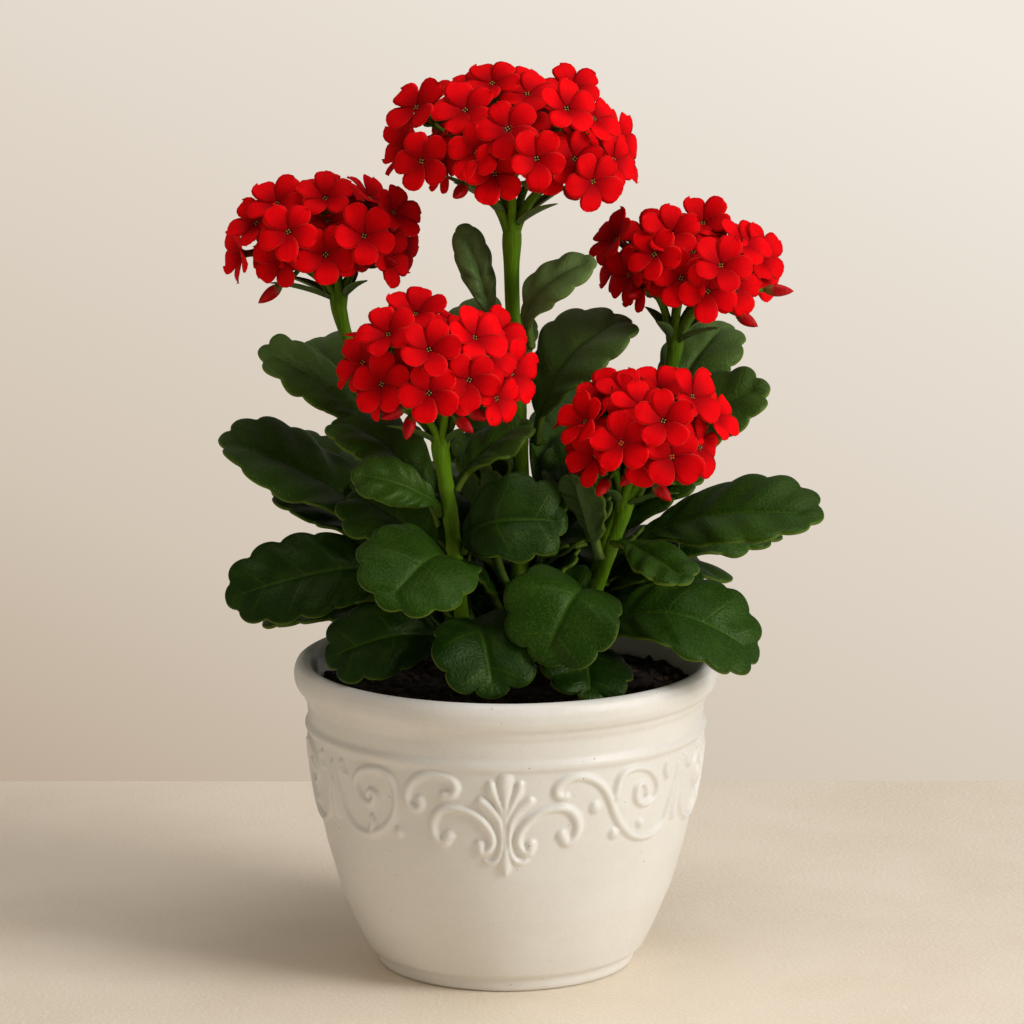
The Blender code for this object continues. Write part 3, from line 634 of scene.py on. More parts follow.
def pot_section():
    """Radius and height down the pot's section, its corners rounded by averaging, with rows close together
    where there is detail, and the two row numbers between which the pattern lies."""
    step = 0.1
    knots = np.array(POT_INSIDE + POT_RIM + POT_OUTSIDE + POT_FOOT, float)
    run = np.concatenate([[0], np.cumsum(np.linalg.norm(np.diff(knots, axis=0), axis=1))])
    fine = np.arange(0, run[-1], step)
    line = np.stack([np.interp(fine, run, knots[:, k]) for k in (0, 1)], axis=1)
    half = int(POT_ROUNDING / step)
    weights = np.hanning(2 * half + 1)
    padded = np.pad(line, ((half, half), (0, 0)), mode="reflect", reflect_type="odd")
    line = np.stack([np.convolve(padded[:, k], weights / weights.sum(), "valid") for k in (0, 1)], axis=1)
    outside = fine > run[len(POT_INSIDE)]
    height = line[:, 1]
    # Wanted distance between rows at each place, in mm.
    spacing = np.full(len(fine), 4.0)
    spacing[outside] = 2.4
    spacing[(height > 76) & outside] = 0.62
    spacing[(line[:, 0] > 62.5) & (height > 92)] = 0.7
    spacing[outside & (height < 7)] = 1.0
    spacing[outside & (height < 1.5) & (line[:, 0] < 32)] = 5.0
    spacing[outside & (height > PATTERN_BAND[0]) & (height < PATTERN_BAND[1])] = 0.56
    count = np.cumsum(step / spacing)
    at = np.interp(np.arange(0, count[-1]), count, fine)
    at[0], at[-1] = 0, fine[-1]
    rows = np.stack([np.interp(at, fine, line[:, k]) for k in (0, 1)], axis=1)
    rows[0, 0] = rows[-1, 0] = 0
    in_band = (at > run[len(POT_INSIDE)]) & (rows[:, 1] > PATTERN_BAND[0]) & (rows[:, 1] < PATTERN_BAND[1])
    band = np.flatnonzero(in_band)
    return rows, band[0], band[-1] + 1


def build_pot():
    """The section turned about Z: radius and height by row, angle by column, moved out by the pattern.

    Rows outside the pattern have half as many columns; five-sided faces join the two spacings.
    """
    rows, first, last = pot_section()
    blocks, starts, total = [], [], 0
    third = 2 * PI / 3
    for low, high, columns in ((0, first, POT_COLUMNS // 2), (first, last, POT_COLUMNS),
                               (last, len(rows), POT_COLUMNS // 2)):
        turn = np.arange(columns) * 2 * PI / columns - PI / 2
        radius, height = rows[low:high, 0, None], rows[low:high, 1, None]
        place = ((turn + PI / 2 + third / 2) % third - third / 2) * PATTERN_GIRTH
        raised = pattern(place[None], height) if columns == POT_COLUMNS else np.zeros((high - low, columns))
        cast = noise(np.stack([np.cos(turn) * 3, np.sin(turn) * 3, 0 * turn], axis=1), 1.0, 4)
        cast = cast * POT_UNEVENNESS * np.minimum(radius / 30, 1)
        radius = np.where(radius > 0, radius + raised * PATTERN_HEIGHT + cast, 0)
        points = np.stack([radius * np.cos(turn), radius * np.sin(turn), height + 0 * radius], axis=-1)
        faces = grid(high - low, columns) + total
        # The first tint value, the pattern's height, makes the glaze lighter on the raised pattern, partly as
        # painted shade left in the hollows.
        blocks.append((points.reshape(-1, 3), tint_values(raised, 0, 0, 0), faces))
        starts.append((total, total + (high - low - 1) * columns))
        total += (high - low) * columns
    coarse = np.arange(POT_COLUMNS // 2)
    after = (coarse + 1) % len(coarse)
    fine = [(2 * coarse + k) % POT_COLUMNS for k in range(3)]
    (_, above), (band_top, band_foot), (below, _) = starts
    upper = np.stack([above + coarse, above + after, *(band_top + f for f in fine[::-1])], axis=1)
    lower = np.stack([*(band_foot + f for f in fine), below + after, below + coarse], axis=1)
    pot = Shapes()
    points, tints, faces = zip(*blocks)
    pot.add(np.concatenate(points), [*faces, upper, lower], np.concatenate(tints))
    pot.piece("pot_glazed", glaze_look(), "glaze", "pot")


def soil_height(x, y):
    """Height of the soil: a low mound, lumps of three sizes, and a small heap round each stalk."""
    flat = np.stack([x, y, 0 * x], axis=-1)
    height = SOIL_TOP + SOIL_MOUND * (1 - (x * x + y * y) / SOIL_RADIUS**2)
    height = height + 0.9 * noise(flat, 9, 1) + 0.7 * noise(flat, 3.5, 2) + 0.4 * noise(flat, 1.6, 3)
    for stations in STALKS.values():
        foot = along(stations, 40)
        foot = foot[np.argmin(np.abs(foot[:, 2] - SOIL_TOP - 2))]
        height = height + 1.6 * np.exp(-((x - foot[0]) ** 2 + (y - foot[1]) ** 2) / 30)
    return height


def scattered(rng, reach):
    """A random place on a disc of that radius, evenly spread over it."""
    radius, angle = reach * math.sqrt(rng.random()), rng.uniform(0, 2 * PI)
    return np.array([radius * math.cos(angle), radius * math.sin(angle)])


def build_soil_surface(look):
    """A polar grid at the soil height, with a skirt down the pot's wall and a flat underside."""
    top = np.linspace(0, SOIL_RADIUS, 52)
    skirt = [(SOIL_RADIUS - 0.3, 91.5), (SOIL_RADIUS - 0.9, 89.5), (30, 89.5), (0, 89.5)]
    radius = np.concatenate([top, [r for r, _ in skirt]])[:, None]
    turn = np.arange(SOIL_COLUMNS)[None] * 2 * PI / SOIL_COLUMNS
    x, y = radius * np.cos(turn), radius * np.sin(turn)
    z = soil_height(x, y)
    z[0] = z[0].mean()
    z[len(top):] = np.array([height for _, height in skirt])[:, None]
    soil = Shapes()
    soil.add(np.stack([x, y, z], axis=-1), [grid(len(radius), SOIL_COLUMNS)])
    soil.piece("soil_surface", look, "soil", "soil")


def build_crumbs(look):
    """Crumbs, which are balls dented by noise, and fibres, which are thin bent tubes, all over the soil."""
    rng = np.random.default_rng(5)
    crumbs = Shapes()
    rows, columns = 6, 7
    polar = np.linspace(0, PI, rows)[:, None]
    turn = np.arange(columns)[None] * 2 * PI / columns
    ball = [np.sin(polar) * np.cos(turn), np.sin(polar) * np.sin(turn), np.cos(polar) + 0 * turn]
    ball = np.stack(ball, axis=-1)
    for _ in range(CRUMBS):
        size = rng.uniform(0.5, 1.9) ** 1.3
        at = scattered(rng, SOIL_RADIUS * 0.965)
        dents = 1 + 0.35 * noise(ball * 1.3 + rng.uniform(0, 50, 3), 1.0, 7)
        stretch = rng.uniform(0.7, 1.3, 3) * (1, 1, 0.7) * size
        points = ball * dents[..., None] * stretch
        points = points + (*at, soil_height(*at[:, None])[0] + 0.25 * size)
        crumbs.add(points, [grid(rows, columns)], (rng.random() ** 3, 0, 0, 0))
    for _ in range(FIBRES):
        at = scattered(rng, FIBRE_REACH)
        way = rng.uniform(0, 2 * PI)
        half = rng.uniform(1.5, 4) * np.array([math.cos(way), math.sin(way)])
        ends = [np.array([*end, soil_height(*end[:, None])[0] + 0.5]) for end in (at - half, at + half)]
        middle = (ends[0] + ends[1]) / 2 + (*rng.uniform(-1.5, 1.5, 2), 1.2)
        points = tube(bent(ends[0], middle, ends[1], 5), [0.12, 0.4, 0.45, 0.35, 0.12], 5)
        crumbs.add(points, skin(5, 5), (rng.uniform(0.2, 0.9), 0, 0, 0))
    crumbs.piece("soil_crumbs", look, "soil")


# ---------------------------------------------------------------- stalks and leaves


def stalk_centre(number, height):
    """Place of a stalk's middle at that height, and its radius there."""
    line = along(STALKS[number], 200)
    return np.array([np.interp(height, line[:, 2], line[:, k]) for k in range(4)])


def build_stalks(look):
    """Tubes whose radius swells at each leaf joint and where the branches leave, and tapers between them."""
    rows, columns = 110, 24
    for number, stations in STALKS.items():
        line = along(stations, rows)
        joints = [row[1] for row in LEAVES.values() if row[0] == number]
        ring = sum(np.exp(-(((line[:, 2] - joint + 1) / 2.2) ** 2)) for joint in joints).clip(0, 1)
        below_top = line[-1, 2] - line[:, 2]
        radii = 0.86 * line[:, 3] + 0.3 * ring + 0.5 * np.exp(-(((below_top - 9) / 5) ** 2))
        points = tube(line[:, :3], radii * ease(below_top / 9 + 0.25), columns)
        ribs = 0.10 * noise(points * (1, 1, 0.15), 1.6, 8)
        points += unit(points - line[:, None, :3]) * ribs[..., None]
        stalk = Shapes()
        stalk.add(points, skin(rows, columns), tint_values(0, 0.30 * ring[:, None] + 0 * ribs, 0, 0))
        stalk.piece(f"stalk_{number}", look, "stalk", f"flower_stalk_{number}")


def leaf_outline(length, width, petiole, lobes):
    """Distance along the leaf, half width, matching foot on the midrib and share of the margin, by row.

    blade: x = petiole + L * (1 - cos a) / 2,  y = W / 2 * sin(a) * ((1 - cos a) / 2)^0.42 / its peak
    scallops: moved outwards by lobe height * (|sin(pi * lobes * q)|^0.6 - 0.6) at the share q of the margin
    """
    start = petiole * length
    blade = length - start
    a = np.linspace(0, PI, 600)
    shape = np.sin(a) * ((1 - np.cos(a)) / 2) ** 0.42
    x = start + blade * (1 - np.cos(a)) / 2
    y = width / 2 * shape / shape.max() + PETIOLE_HALF_WIDTH * np.clip(1 - (x - start) / blade, 0, 1) ** 2
    step = np.hypot(np.diff(x), np.diff(y))
    q = np.concatenate([[0], np.cumsum(step)]) / step.sum()
    out_x, out_y = np.gradient(y), -np.gradient(x)
    size = np.hypot(out_x, out_y)
    height = LOBE_HEIGHT * min(1.0, width / 26) ** 2
    lobe = height * np.clip((q - 0.28) / 0.25, 0, 1) * (np.abs(np.sin(PI * lobes * q)) ** 0.6 - 0.6)
    x, y = x - out_x / size * lobe, np.maximum(y - out_y / size * lobe, 0)
    y[-1] = 0
    wanted = np.linspace(0, 1, BLADE_ROWS)
    foot = start + blade * VEIN_END * np.interp(wanted, q, (1 - np.cos(a)) / 2) ** 1.5
    x, y = np.interp(wanted, q, x), np.interp(wanted, q, y)
    stem = np.linspace(-2.6, start, 9)[:-1]
    stem_width = PETIOLE_HALF_WIDTH + 0.7 * np.clip(1 - (stem + 2.6) / 4, 0, 1) ** 2
    shares = np.concatenate([np.zeros(8), wanted])
    return np.concatenate([stem, x]), np.concatenate([stem_width, y]), np.concatenate([stem, foot]), shares


ACROSS = np.array([0, 0.03, 0.08, 0.16, 0.27, 0.4, 0.53, 0.66, 0.77, 0.86, 0.93, 0.975, 1.0])


def add_leaf(leaves, row, seed, shade_painted=False):
    """One leaf as rings that run from the left margin over the top to the right margin and back underneath.

    A point at share v from the midrib lies at x = foot + (margin - foot) * v^1.1 along the midrib and
    y = half width * v from it, lifted by fold * y - curl * (y / half leaf)^3, with a groove on the midrib,
    low cushions between the side veins and a slow wave along the margin.
    """
    number, height, tip, width, rise, roll, petiole = row
    rng = np.random.default_rng(seed)
    *centre, radius = stalk_centre(number, height)
    centre, tip = np.array(centre), np.array(tip, float)
    outwards = (tip - centre) * (1, 1, 0)
    clear = (radius + LEAF_STANDOFF) / max(0.5, np.linalg.norm(unit(tip - centre)[:2]))
    base = centre + unit(outwards) * clear
    chord = unit(tip - base)
    level = unit(np.cross(chord, (0, 0, 1)))
    face = np.cross(level, chord)
    angle = math.radians(roll)
    side = level * math.cos(angle) + face * math.sin(angle)
    face = face * math.cos(angle) - level * math.sin(angle)
    t = np.linspace(0, 1, 81)[:, None]
    line = base + (tip - base) * t + face * rise * 4 * t * (1 - t)
    run = np.concatenate([[0], np.cumsum(np.linalg.norm(np.diff(line, axis=0), axis=1))])
    length = run[-1]
    lobes = 6.5 if length > 66 else 5.5 if length > 50 else 4.5
    x_edge, y_edge, foot, q = leaf_outline(length, width, petiole, lobes)

    v, layer = over_and_under(np.concatenate([-ACROSS[:0:-1], ACROSS]))
    part = np.abs(v)
    uneven = 1 + rng.uniform(-0.04, 0.04) * np.sign(v) * np.sin(PI * q)[:, None]
    y_edge = y_edge[:, None] * uneven
    x = foot[:, None] + (x_edge - foot)[:, None] * part**1.1
    y = y_edge * part
    inland = np.hypot(y_edge * (1 - part), x_edge[:, None] - x)
    blade = ease((x / length - petiole) / 0.2)

    lift = FOLD * y - EDGE_CURL * (y / (width / 2)) ** 3 * (y > 0)
    inner = ease((length - x) / (0.3 * length))
    lift -= (0.5 * blade + 0.25) * inner * np.exp(-((y / 1.1) ** 2))
    lift += 0.75 * blade * np.sin(PI * lobes * q)[:, None] ** 2 * 4 * part * (1 - part)
    fade = (np.sin(PI * np.clip(q * 1.05, 0, 1)) ** 0.7)[:, None]
    for waves, size in ((1.5, 0.9), (3.0, 0.55), (4.5, 0.45)):
        phase = np.where(v < 0, *rng.uniform(0, 2 * PI, 2))
        lift += fade * size * part**2.2 * np.sin(2 * PI * waves * q[:, None] + phase)
    lift += 0.5 * fade * part**4 * np.abs(np.sin(PI * lobes * q))[:, None]
    flatter = ease((x / length - petiole * 0.6) / 0.3)
    thick = PETIOLE_THICKNESS + (LEAF_THICKNESS - PETIOLE_THICKNESS) * flatter
    half = thick / 2 * np.sqrt(1 - (1 - np.clip(inland / 1.25, 0, 1)) ** 2)
    keel = 0.55 * blade * np.exp(-((y / 1.1) ** 2)) * (1 - q[:, None] ** 2)
    lift = lift + layer * half - (layer < 0) * keel

    spine = np.stack([np.interp(x, run, line[:, k]) for k in range(3)], axis=-1)
    for end, over in (((1, 0), np.minimum(x, 0)), ((-1, -2), np.maximum(x - length, 0))):
        way = unit(line[end[0]] - line[end[1]])
        spine += way * over[..., None]
    slope = unit(np.gradient(line, axis=0))
    tangent = unit(np.stack([np.interp(x, run, slope[:, k]) for k in range(3)], axis=-1))
    normal = unit(np.cross(side, tangent))
    normal *= np.sign(normal @ face)[..., None]
    points = spine + side * (y * np.sign(v))[..., None] + normal * lift[..., None]
    # 10 is added to the first tint value on leaves painted a deeper green as painted shade.
    tint = tint_values(lobes * q[:, None] + 10 * shade_painted, part, inland.clip(0, 9), layer < 0)
    # No face closes the last ring, whose left and right halves meet on the midrib and are welded there.
    leaves.add(points, skin(len(q), len(v))[:2], tint)


def build_leaves(look):
    """One piece for each leaf of the table, and the small crowded leaves between the stalks."""
    for seed, (name, row) in enumerate(LEAVES.items()):
        leaf = Shapes()
        add_leaf(leaf, row, seed, name in SHADE_PAINTED_LEAVES)
        leaf.piece(name + "_blade", look, "leaf", name)
    rng = np.random.default_rng(9)
    # Each crowd holds two leaves of the table and seven more, set round the inner stalks by the golden angle.
    for piece in range(4):
        crowd = Shapes()
        rows = list(CROWDED[2 * piece:2 * piece + 2])
        for index in range(7):
            number = (1, 2, 4, 1, 2, 4, 1)[index]
            height = 98 + 8 * index + 3 * piece
            centre = stalk_centre(number, height)[:3]
            turn = GOLDEN * (index + 7 * piece) + 0.4
            way = np.array([math.cos(turn), 0.6 * math.sin(turn) + 0.55, 0])
            tip = centre + way * rng.uniform(26, 38) + (0, 0, rng.uniform(10, 30))
            tip[:2] *= min(1, 66 / np.hypot(*tip[:2]))
            width, rise, roll = rng.uniform(24, 31), rng.uniform(2, 6), rng.uniform(-20, 20)
            rows.append((number, height, tuple(tip), width, rise, roll, 0.16))
        for seed, row in enumerate(rows):
            add_leaf(crowd, row, 60 + seed + 9 * piece)
        crowd.piece(f"inner_leaves_{piece + 1}", look, "leaf")


# ---------------------------------------------------------------- flower heads


def dome_place(number, way):
    """The place on a head's dome (an ellipsoid with fuller shoulders) where its surface faces that way."""
    centre, half_width, up, down = HEADS[number]
    around = half_width - SIDE_INSET
    axes = np.array([around, around, up - TOP_INSET if way[2] > 0 else down + SKIRT])
    ball = axes * way / np.linalg.norm(axes * way)
    fuller = (np.hypot(ball[0], ball[1]) ** 2.6 + abs(ball[2]) ** 2.6) ** (-1 / 2.6)
    return np.array(centre) + axes * ball * fuller


def floret_ways(number):
    """The listed directions, then an even spiral of directions that keeps clear of those already taken."""
    listed = np.radians(np.array(FLORETS[number], float))
    ways = [facing(right - PI / 2, math.cos(down)) for right, down in listed]
    places = [dome_place(number, way) for way in ways]
    for spacing in (1.0, 0.92):
        for rank in range(SPIRAL_WAYS):
            if len(ways) >= FLORET_COUNT[number]:
                break
            way = facing(rank * GOLDEN + number, 1 - (rank + 0.5) / SPIRAL_WAYS * 1.12)
            place = dome_place(number, way)
            room = FLORET_SPACING * (spacing if way[1] > 0.1 else 1.15)
            if min(np.linalg.norm(place - other) for other in places) > room:
                ways.append(way)
                places.append(place)
    return ways, places


def crossing(place, out, others):
    """Total length over which a floret's disc cuts through the discs of other florets: on the line where two
    discs' planes meet, each disc covers a stretch, and the part that the stretches share counts."""
    total = 0.0
    for other, other_out in others:
        line = np.cross(out, other_out)
        tilt, gap = np.linalg.norm(line) + 1e-9, other - place
        squares = [FLORET_RADIUS**2 - (gap @ way / tilt) ** 2 for way in (other_out, out)]
        if min(squares) > 0:
            half, other_half = np.sqrt(squares)
            shift = gap @ line / tilt
            total += max(0.0, min(half, shift + other_half) - max(-half, shift - other_half))
    return total


def add_floret(petals, centres, place, out, rng):
    """Petals, throat and anthers of one floret that faces out.

    petal at the angle f from 0 to pi: reach = throat + (radius - throat) * (1 - cos f) / 2 and half width =
    W * sin(f) * ((1 - cos f) / 2)^0.45; it rises from the throat, then bends back towards the tip.
    """
    spoke = spokes(out, unit(rng.normal(size=3)))
    count = 4 if rng.random() < 0.14 else 5
    size = FLORET_RADIUS * rng.uniform(0.92, 1.04)
    spin = rng.uniform(0, 2 * PI)
    cup, tone = rng.uniform(0, 1), rng.uniform(0.1, 0.9)
    f = np.linspace(0, PI, 9)
    swell = np.sin(f) * ((1 - np.cos(f)) / 2) ** 0.45
    half_width = 4.7 if count == 4 else 3.95
    v, layer = blade_shares(5)
    for index in range(count):
        turn = spin + 2 * PI * (index + rng.uniform(-0.05, 0.05)) / count
        ray = spoke(turn)
        side = np.cross(out, ray)
        span = size * rng.uniform(0.94, 1.05)
        reach = THROAT_RADIUS + (span - THROAT_RADIUS) * (1 - np.cos(f)) / 2
        share = reach / span
        width = half_width * rng.uniform(0.95, 1.05) * swell / swell.max() * span / 10
        width = width + 1.25 * np.clip(1 - share / 0.75, 0, 1)
        bend = -0.5 + (1.8 + 3.2 * cup) * share ** 0.8 - rng.uniform(0.4, 2.2) * share**4
        spine = place + ray * reach[:, None] + out * bend[:, None]
        turned = rng.uniform(-0.9, 0.9)
        y = width[:, None] * v
        lift = 0.11 * y + (0.9 * cup - 0.2) * (y / 5) ** 2 + turned * share[:, None] ** 4 * v
        lift -= 0.22 * np.exp(-((v / 0.25) ** 2))
        thick = 0.33 * np.sqrt(np.clip(1 - share**6, 0, 1))
        points = lens(spine, side, out, width, thick, lift, (v, layer))
        tint = tint_values(share[:, None], np.abs(v), tone + rng.uniform(-0.1, 0.1), layer < 0)
        petals.add(points, skin(len(f), len(v)), tint)
    add_throat(centres, place, out, spoke, spin)


def add_throat(centres, place, out, spoke, spin):
    """The throat, its section of radius and height turned about the floret's axis, and four round anthers."""
    section = [(0, -0.75), (0.8, -0.65), (1.25, -0.05), (1.6, 0.12), (1.9, -0.2), (1.4, -1.2), (0, -1.4)]
    section = np.array(section)
    redness = np.array([0, 0, 0.3, 1, 0.7, 0, 0])
    turn = np.arange(10)[:, None] * 2 * PI / 10
    points = place + section[:, None, :1] * spoke(turn) + section[:, None, 1:] * out
    centres.add(points, [grid(7, 10)], tint_values(0, redness[:, None] + 0 * turn[:, 0], 0, 0))
    polar = np.linspace(0, PI, 4)[:, None, None]
    ball = np.cos(polar) * out + np.sin(polar) * spoke(turn[::2])
    for index in range(4):
        at = place + 0.62 * spoke(spin + 2 * PI * index / 4) + 0.05 * out
        centres.add(at + ANTHER_RADIUS * ball, [grid(4, 5)], (1, 0, 0, 0))


def add_floret_neck(stems, place, out, hub):
    """Red-tinged tube behind a floret, the green cup of four pointed sepals at its foot, and a thin stem."""
    steps = np.array([-0.8, -3.0, -6.0, -8.5, -10.0])
    neck = tube(place + out * steps[:, None], [1.25, 1.2, 1.7, 1.9, 1.1], 8)
    redness = np.array([1.0, 0.9, 0.55, 0.25, 0.0])
    stems.add(neck, skin(5, 8), tint_values(redness[:, None] + np.zeros(8), 0, 0, 0))
    foot = place + out * -9.8
    spoke = spokes(out, (0.31, 0.82, 0.47))
    for index in range(4):
        ray = spoke(index * PI / 2)
        side = np.cross(out, ray)
        grow = np.linspace(0, 1, 5)[:, None]
        spine = foot + out * grow * 5.2 + ray * (1.0 + 1.9 * np.sin(grow * 1.9))
        half_width, thickness = [0.7, 1.15, 1.0, 0.6, 0], [0.3, 0.3, 0.25, 0.15, 0]
        points = lens(spine, side, ray, half_width, thickness, 0.0, blade_shares(4))
        stems.add(points, skin(5, 6), (0.08, 0.3, 0, 0))
    reach = foot - hub
    stem = bent(hub, hub + reach * (0.35, 0.35, 0.75), foot, 6)
    stems.add(tube(stem, [0.85, 0.75, 0.7, 0.7, 0.75, 1.0], 6), skin(6, 6), (0.05, 0.25, 0, 0))


def add_bud(buds, stems, start, tip, length):
    """A bud of radius 2.15 * sin(pi * s^0.8)^0.75 at the share s, with four folds, on a thin bent stem."""
    rows, columns = 9, 12
    way = unit((tip - start) * (1, 1, 0.6) + (0, 0, -2.0))
    foot = tip - way * length * 0.5
    grow = np.linspace(0, 1, rows)
    radii = 2.15 * np.sin(PI * np.clip(grow, 0.03, 1) ** 0.8) ** 0.75 + 0.02
    centres = foot + way * length * grow[:, None]
    points = tube(centres, radii, columns)
    folds = 0.5 + 0.5 * np.cos(4 * np.arange(columns) * 2 * PI / columns + 2.5 * grow[:, None])
    points -= unit(points - centres[:, None]) * (0.22 * folds * grow[:, None])[..., None]
    # The second tint value, high in the folds, paints them darker as painted shade.
    buds.add(points, skin(rows, columns), tint_values(grow[:, None], folds * 0.6, 0, 0))
    stem = bent(start, start + (foot - start) * (0.4, 0.4, 0.7), foot + way, 6)
    stems.add(tube(stem, 0.8, 6), skin(6, 6), (0.1, 0.2, 0, 0))


def add_bract(bracts, root, tip):
    """A narrow pointed leaf that bends from the branches out to its tip, grooved along its middle."""
    start = root + (tip - root) * (0.12, 0.12, 0.5)
    spine = bent(start, (start + tip) / 2 + (0, 0, 2.0), tip, 13)
    side = unit(np.cross(tip - start, (0, 0, 1)))
    share = np.linspace(0, 1, len(spine))
    width = 2.1 * np.sin(PI * share**0.8) ** 0.8 + 0.5 * (1 - share)
    width[-1] = 0
    v, layer = blade_shares(7)
    lift = 0.35 * v**2 * width[:, None] - 0.25 * np.exp(-((v / 0.3) ** 2))
    up = unit(np.cross(side, tip - start))
    points = lens(spine, side, up, width, 0.55 * (1 - share**4), lift, (v, layer))
    inland = (width[:, None] * (1 - np.abs(v))).clip(0.3, 9)
    tint = tint_values(4 * share[:, None], np.abs(v), inland, layer < 0)
    bracts.add(points, skin(len(share), len(v)), tint)


def build_head(number, looks):
    """Florets over the dome, each on a thin stem from one of several hubs, which short branches hold, then
    florets deeper inside, buds and bracts."""
    rng = np.random.default_rng(100 + number)
    centre, half_width, up, down = HEADS[number]
    centre = np.array(centre, float)
    petals, centres, stems, buds, bracts = (Shapes() for _ in range(5))
    root = stalk_centre(number, STALKS[number][-1][2] - 12)[:3]
    hubs = [centre + (0, 0, up * 0.18)]
    for index in range(HUBS):
        turn = 2 * PI * (index + 0.25 * number) / HUBS
        reach = half_width * 0.36
        hubs.append(centre + (reach * math.cos(turn), reach * math.sin(turn), -down * 0.35))
    for hub in hubs:
        path = bent(root, root + (hub - root) * (0.15, 0.15, 0.72), hub, 12)
        radii = 1.9 + (1.05 - 1.9) * np.linspace(0, 1, 12) ** 0.7
        radii[-1] = 1.35
        stems.add(tube(path, radii, 10), skin(12, 10), (0, 0.1, 0, 0))

    def nearest_hub(place):
        return min(hubs, key=lambda hub: np.linalg.norm(place - hub))

    taken = []
    for rank, (way, dome) in enumerate(zip(*floret_ways(number))):
        listed = rank < len(FLORETS[number])
        if listed:
            lean, jitter, depths = (0, -0.35 - 0.45 * max(0, way[1] + 0.45), 0), 0.12, (-6.0, 0.5)
        else:
            lean, jitter, depths = (0, -0.7 * math.exp(-((way[1] / 0.45) ** 2)), 0.15), 0.26, (-7.5, -1.5)
        tries = []
        for _ in range(FLORET_TRIES):
            out = unit(way + lean + rng.normal(size=3) * jitter)
            place = dome + way * rng.uniform(*depths)
            tries.append((crossing(place, out, taken), place, out))
        _, place, out = min(tries, key=lambda attempt: attempt[0])
        taken.append((place, out))
        add_floret(petals, centres, place, out, rng)
        add_floret_neck(stems, place, out, nearest_hub(place))
    for rank in range(INNER_FLORETS):
        way = facing(rank * GOLDEN, 1 - (rank + 0.5) / INNER_FLORETS)
        add_floret(petals, centres, centre + 0.66 * (dome_place(number, way) - centre), way, rng)
    for offset in BUDS[number]:
        tip = centre + offset
        add_bud(buds, stems, nearest_hub(tip), tip, rng.uniform(8.5, 10.5))
    for offset in BRACTS[number]:
        add_bract(bracts, root, centre + offset)
    petals.piece(f"head_{number}_petals", looks["petal"], "petals", f"flower_head_{number}")
    centres.piece(f"head_{number}_centres", looks["centre"], "petals")
    stems.piece(f"head_{number}_stems", looks["stalk"], "stalk")
    buds.piece(f"head_{number}_buds", looks["bud"], "petals")
    bracts.piece(f"head_{number}_bracts", looks["leaf"], "leaf")


# ---------------------------------------------------------------- room, light and camera


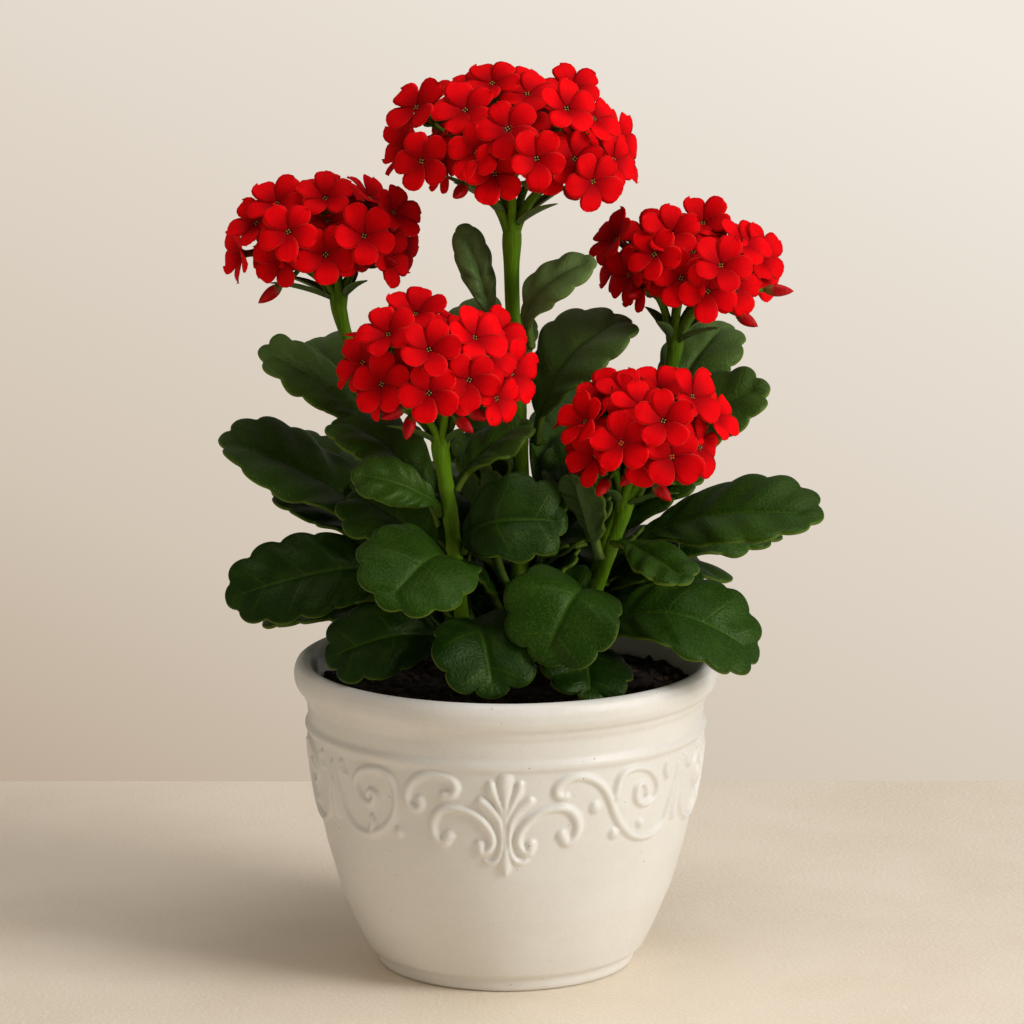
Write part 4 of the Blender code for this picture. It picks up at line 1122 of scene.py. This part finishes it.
def build_room():
    """A pale stone table top that ends a little behind the pot, in a warm pale room whose backdrop is painted
    darker low and left as painted shade.
    """
    mesh = bpy.data.meshes.new("table_top")
    near, back, half_width = -4, 0.235, 4
    corners = [(-half_width, near, 0), (half_width, near, 0), (half_width, back, 0), (-half_width, back, 0)]
    mesh.from_pydata(corners, [], [(0, 1, 2, 3)])
    look = Look("pale_stone_table", IOR=1.4)
    colour = look.mix(look.patches(60, 4.0, 0.3, 0.7), (0.89, 0.775, 0.63), (0.95, 0.84, 0.70))
    grain = look.patches(1.6, 4.0, 0.4, 0.68)
    colour = look.over(colour, grain, 0.4, (0.98, 0.90, 0.79))
    mesh.materials.append(look.finish(colour, look.span(grain, 0.0, 1.0, 0.55, 0.7), (grain, 0.2, 0.35)))
    table = bpy.data.objects.new("table_top", mesh)
    bpy.context.scene.collection.objects.link(table)

    world = bpy.data.worlds.new("pale_room")
    bpy.context.scene.world = world
    world.use_nodes = True
    nodes, links = world.node_tree.nodes, world.node_tree.links
    backdrop_with_painted_shade, ambient = nodes["Background"], nodes.new("ShaderNodeBackground")
    way = nodes.new("ShaderNodeTexCoord").outputs["Generated"]
    split, painted_shade_ramp = nodes.new("ShaderNodeSeparateXYZ"), nodes.new("ShaderNodeValToRGB")
    slant, rise = nodes.new("ShaderNodeMath"), nodes.new("ShaderNodeMapRange")
    slant.operation = "MULTIPLY_ADD"
    slant.inputs[1].default_value = 0.45
    rise.inputs[1].default_value, rise.inputs[2].default_value = -0.29, -0.06
    # The backdrop seen by the camera is painted darker low and to the left: painted shade, as of the plant's
    # shadow falling on the wall.
    stops = painted_shade_ramp.color_ramp.elements
    stops[0].color, stops[1].color = (0.51, 0.41, 0.315, 1), (0.875, 0.815, 0.735, 1)
    stops.new(0.25).color = (0.65, 0.56, 0.46, 1)
    links.new(way, split.inputs[0])
    links.new(split.outputs[0], slant.inputs[0])
    links.new(split.outputs[2], slant.inputs[2])
    links.new(slant.outputs[0], rise.inputs[0])
    links.new(rise.outputs[0], painted_shade_ramp.inputs[0])
    links.new(painted_shade_ramp.outputs[0], backdrop_with_painted_shade.inputs[0])
    backdrop_with_painted_shade.inputs["Strength"].default_value = 1.0
    ambient.inputs["Color"].default_value = (1.0, 0.91, 0.80, 1)
    ambient.inputs["Strength"].default_value = 0.24
    path, blend = nodes.new("ShaderNodeLightPath"), nodes.new("ShaderNodeMixShader")
    links.new(path.outputs["Is Camera Ray"], blend.inputs[0])
    links.new(ambient.outputs[0], blend.inputs[1])
    links.new(backdrop_with_painted_shade.outputs[0], blend.inputs[2])
    links.new(blend.outputs[0], nodes["World Output"].inputs["Surface"])


def aim(made, place, target):
    made.location = place
    made.rotation_euler = (Vector(target) - Vector(place)).to_track_quat("-Z", "Y").to_euler()
    bpy.context.scene.collection.objects.link(made)


def build_lights_and_camera():
    for name, place, size, power, colour in (
        ("window_light", (1.50, -0.85, 1.05), 0.80, 20.0, (1.0, 0.99, 0.96)),
        ("low_right", (1.60, -0.75, 0.55), 0.60, 5.0, (1.0, 0.98, 0.94)),
        ("soft_top", (0.25, -0.1, 1.7), 1.0, 8.5, (1.0, 0.98, 0.95)),
        ("left_fill", (-1.5, -0.9, 0.7), 1.2, 2.0, (1.0, 0.82, 0.62)),
    ):
        light = bpy.data.lights.new(name, "AREA")
        light.size, light.energy, light.color = size, power, colour
        lamp = bpy.data.objects.new(name, light)
        lamp.visible_camera = False
        aim(lamp, place, (0, 0, 0.15))
    lens_data = bpy.data.cameras.new("camera")
    lens_data.lens, lens_data.sensor_width = 174.5, 36.0
    camera = bpy.data.objects.new("camera", lens_data)
    aim(camera, (0.0021, -1.6, 0.47), (0.0021, 0, 0.1514))
    bpy.context.scene.camera = camera
    bpy.context.scene.view_settings.view_transform = "Standard"


build_pot()
SOIL_LOOK = soil_look()
build_soil_surface(SOIL_LOOK)
build_crumbs(SOIL_LOOK)
LOOKS = {"stalk": stalk_look(), "leaf": leaf_look(), "petal": petal_look()}
LOOKS.update(centre=centre_look(), bud=bud_look())
build_stalks(LOOKS["stalk"])
build_leaves(LOOKS["leaf"])
for head_number in HEADS:
    build_head(head_number, LOOKS)
build_room()
build_lights_and_camera()
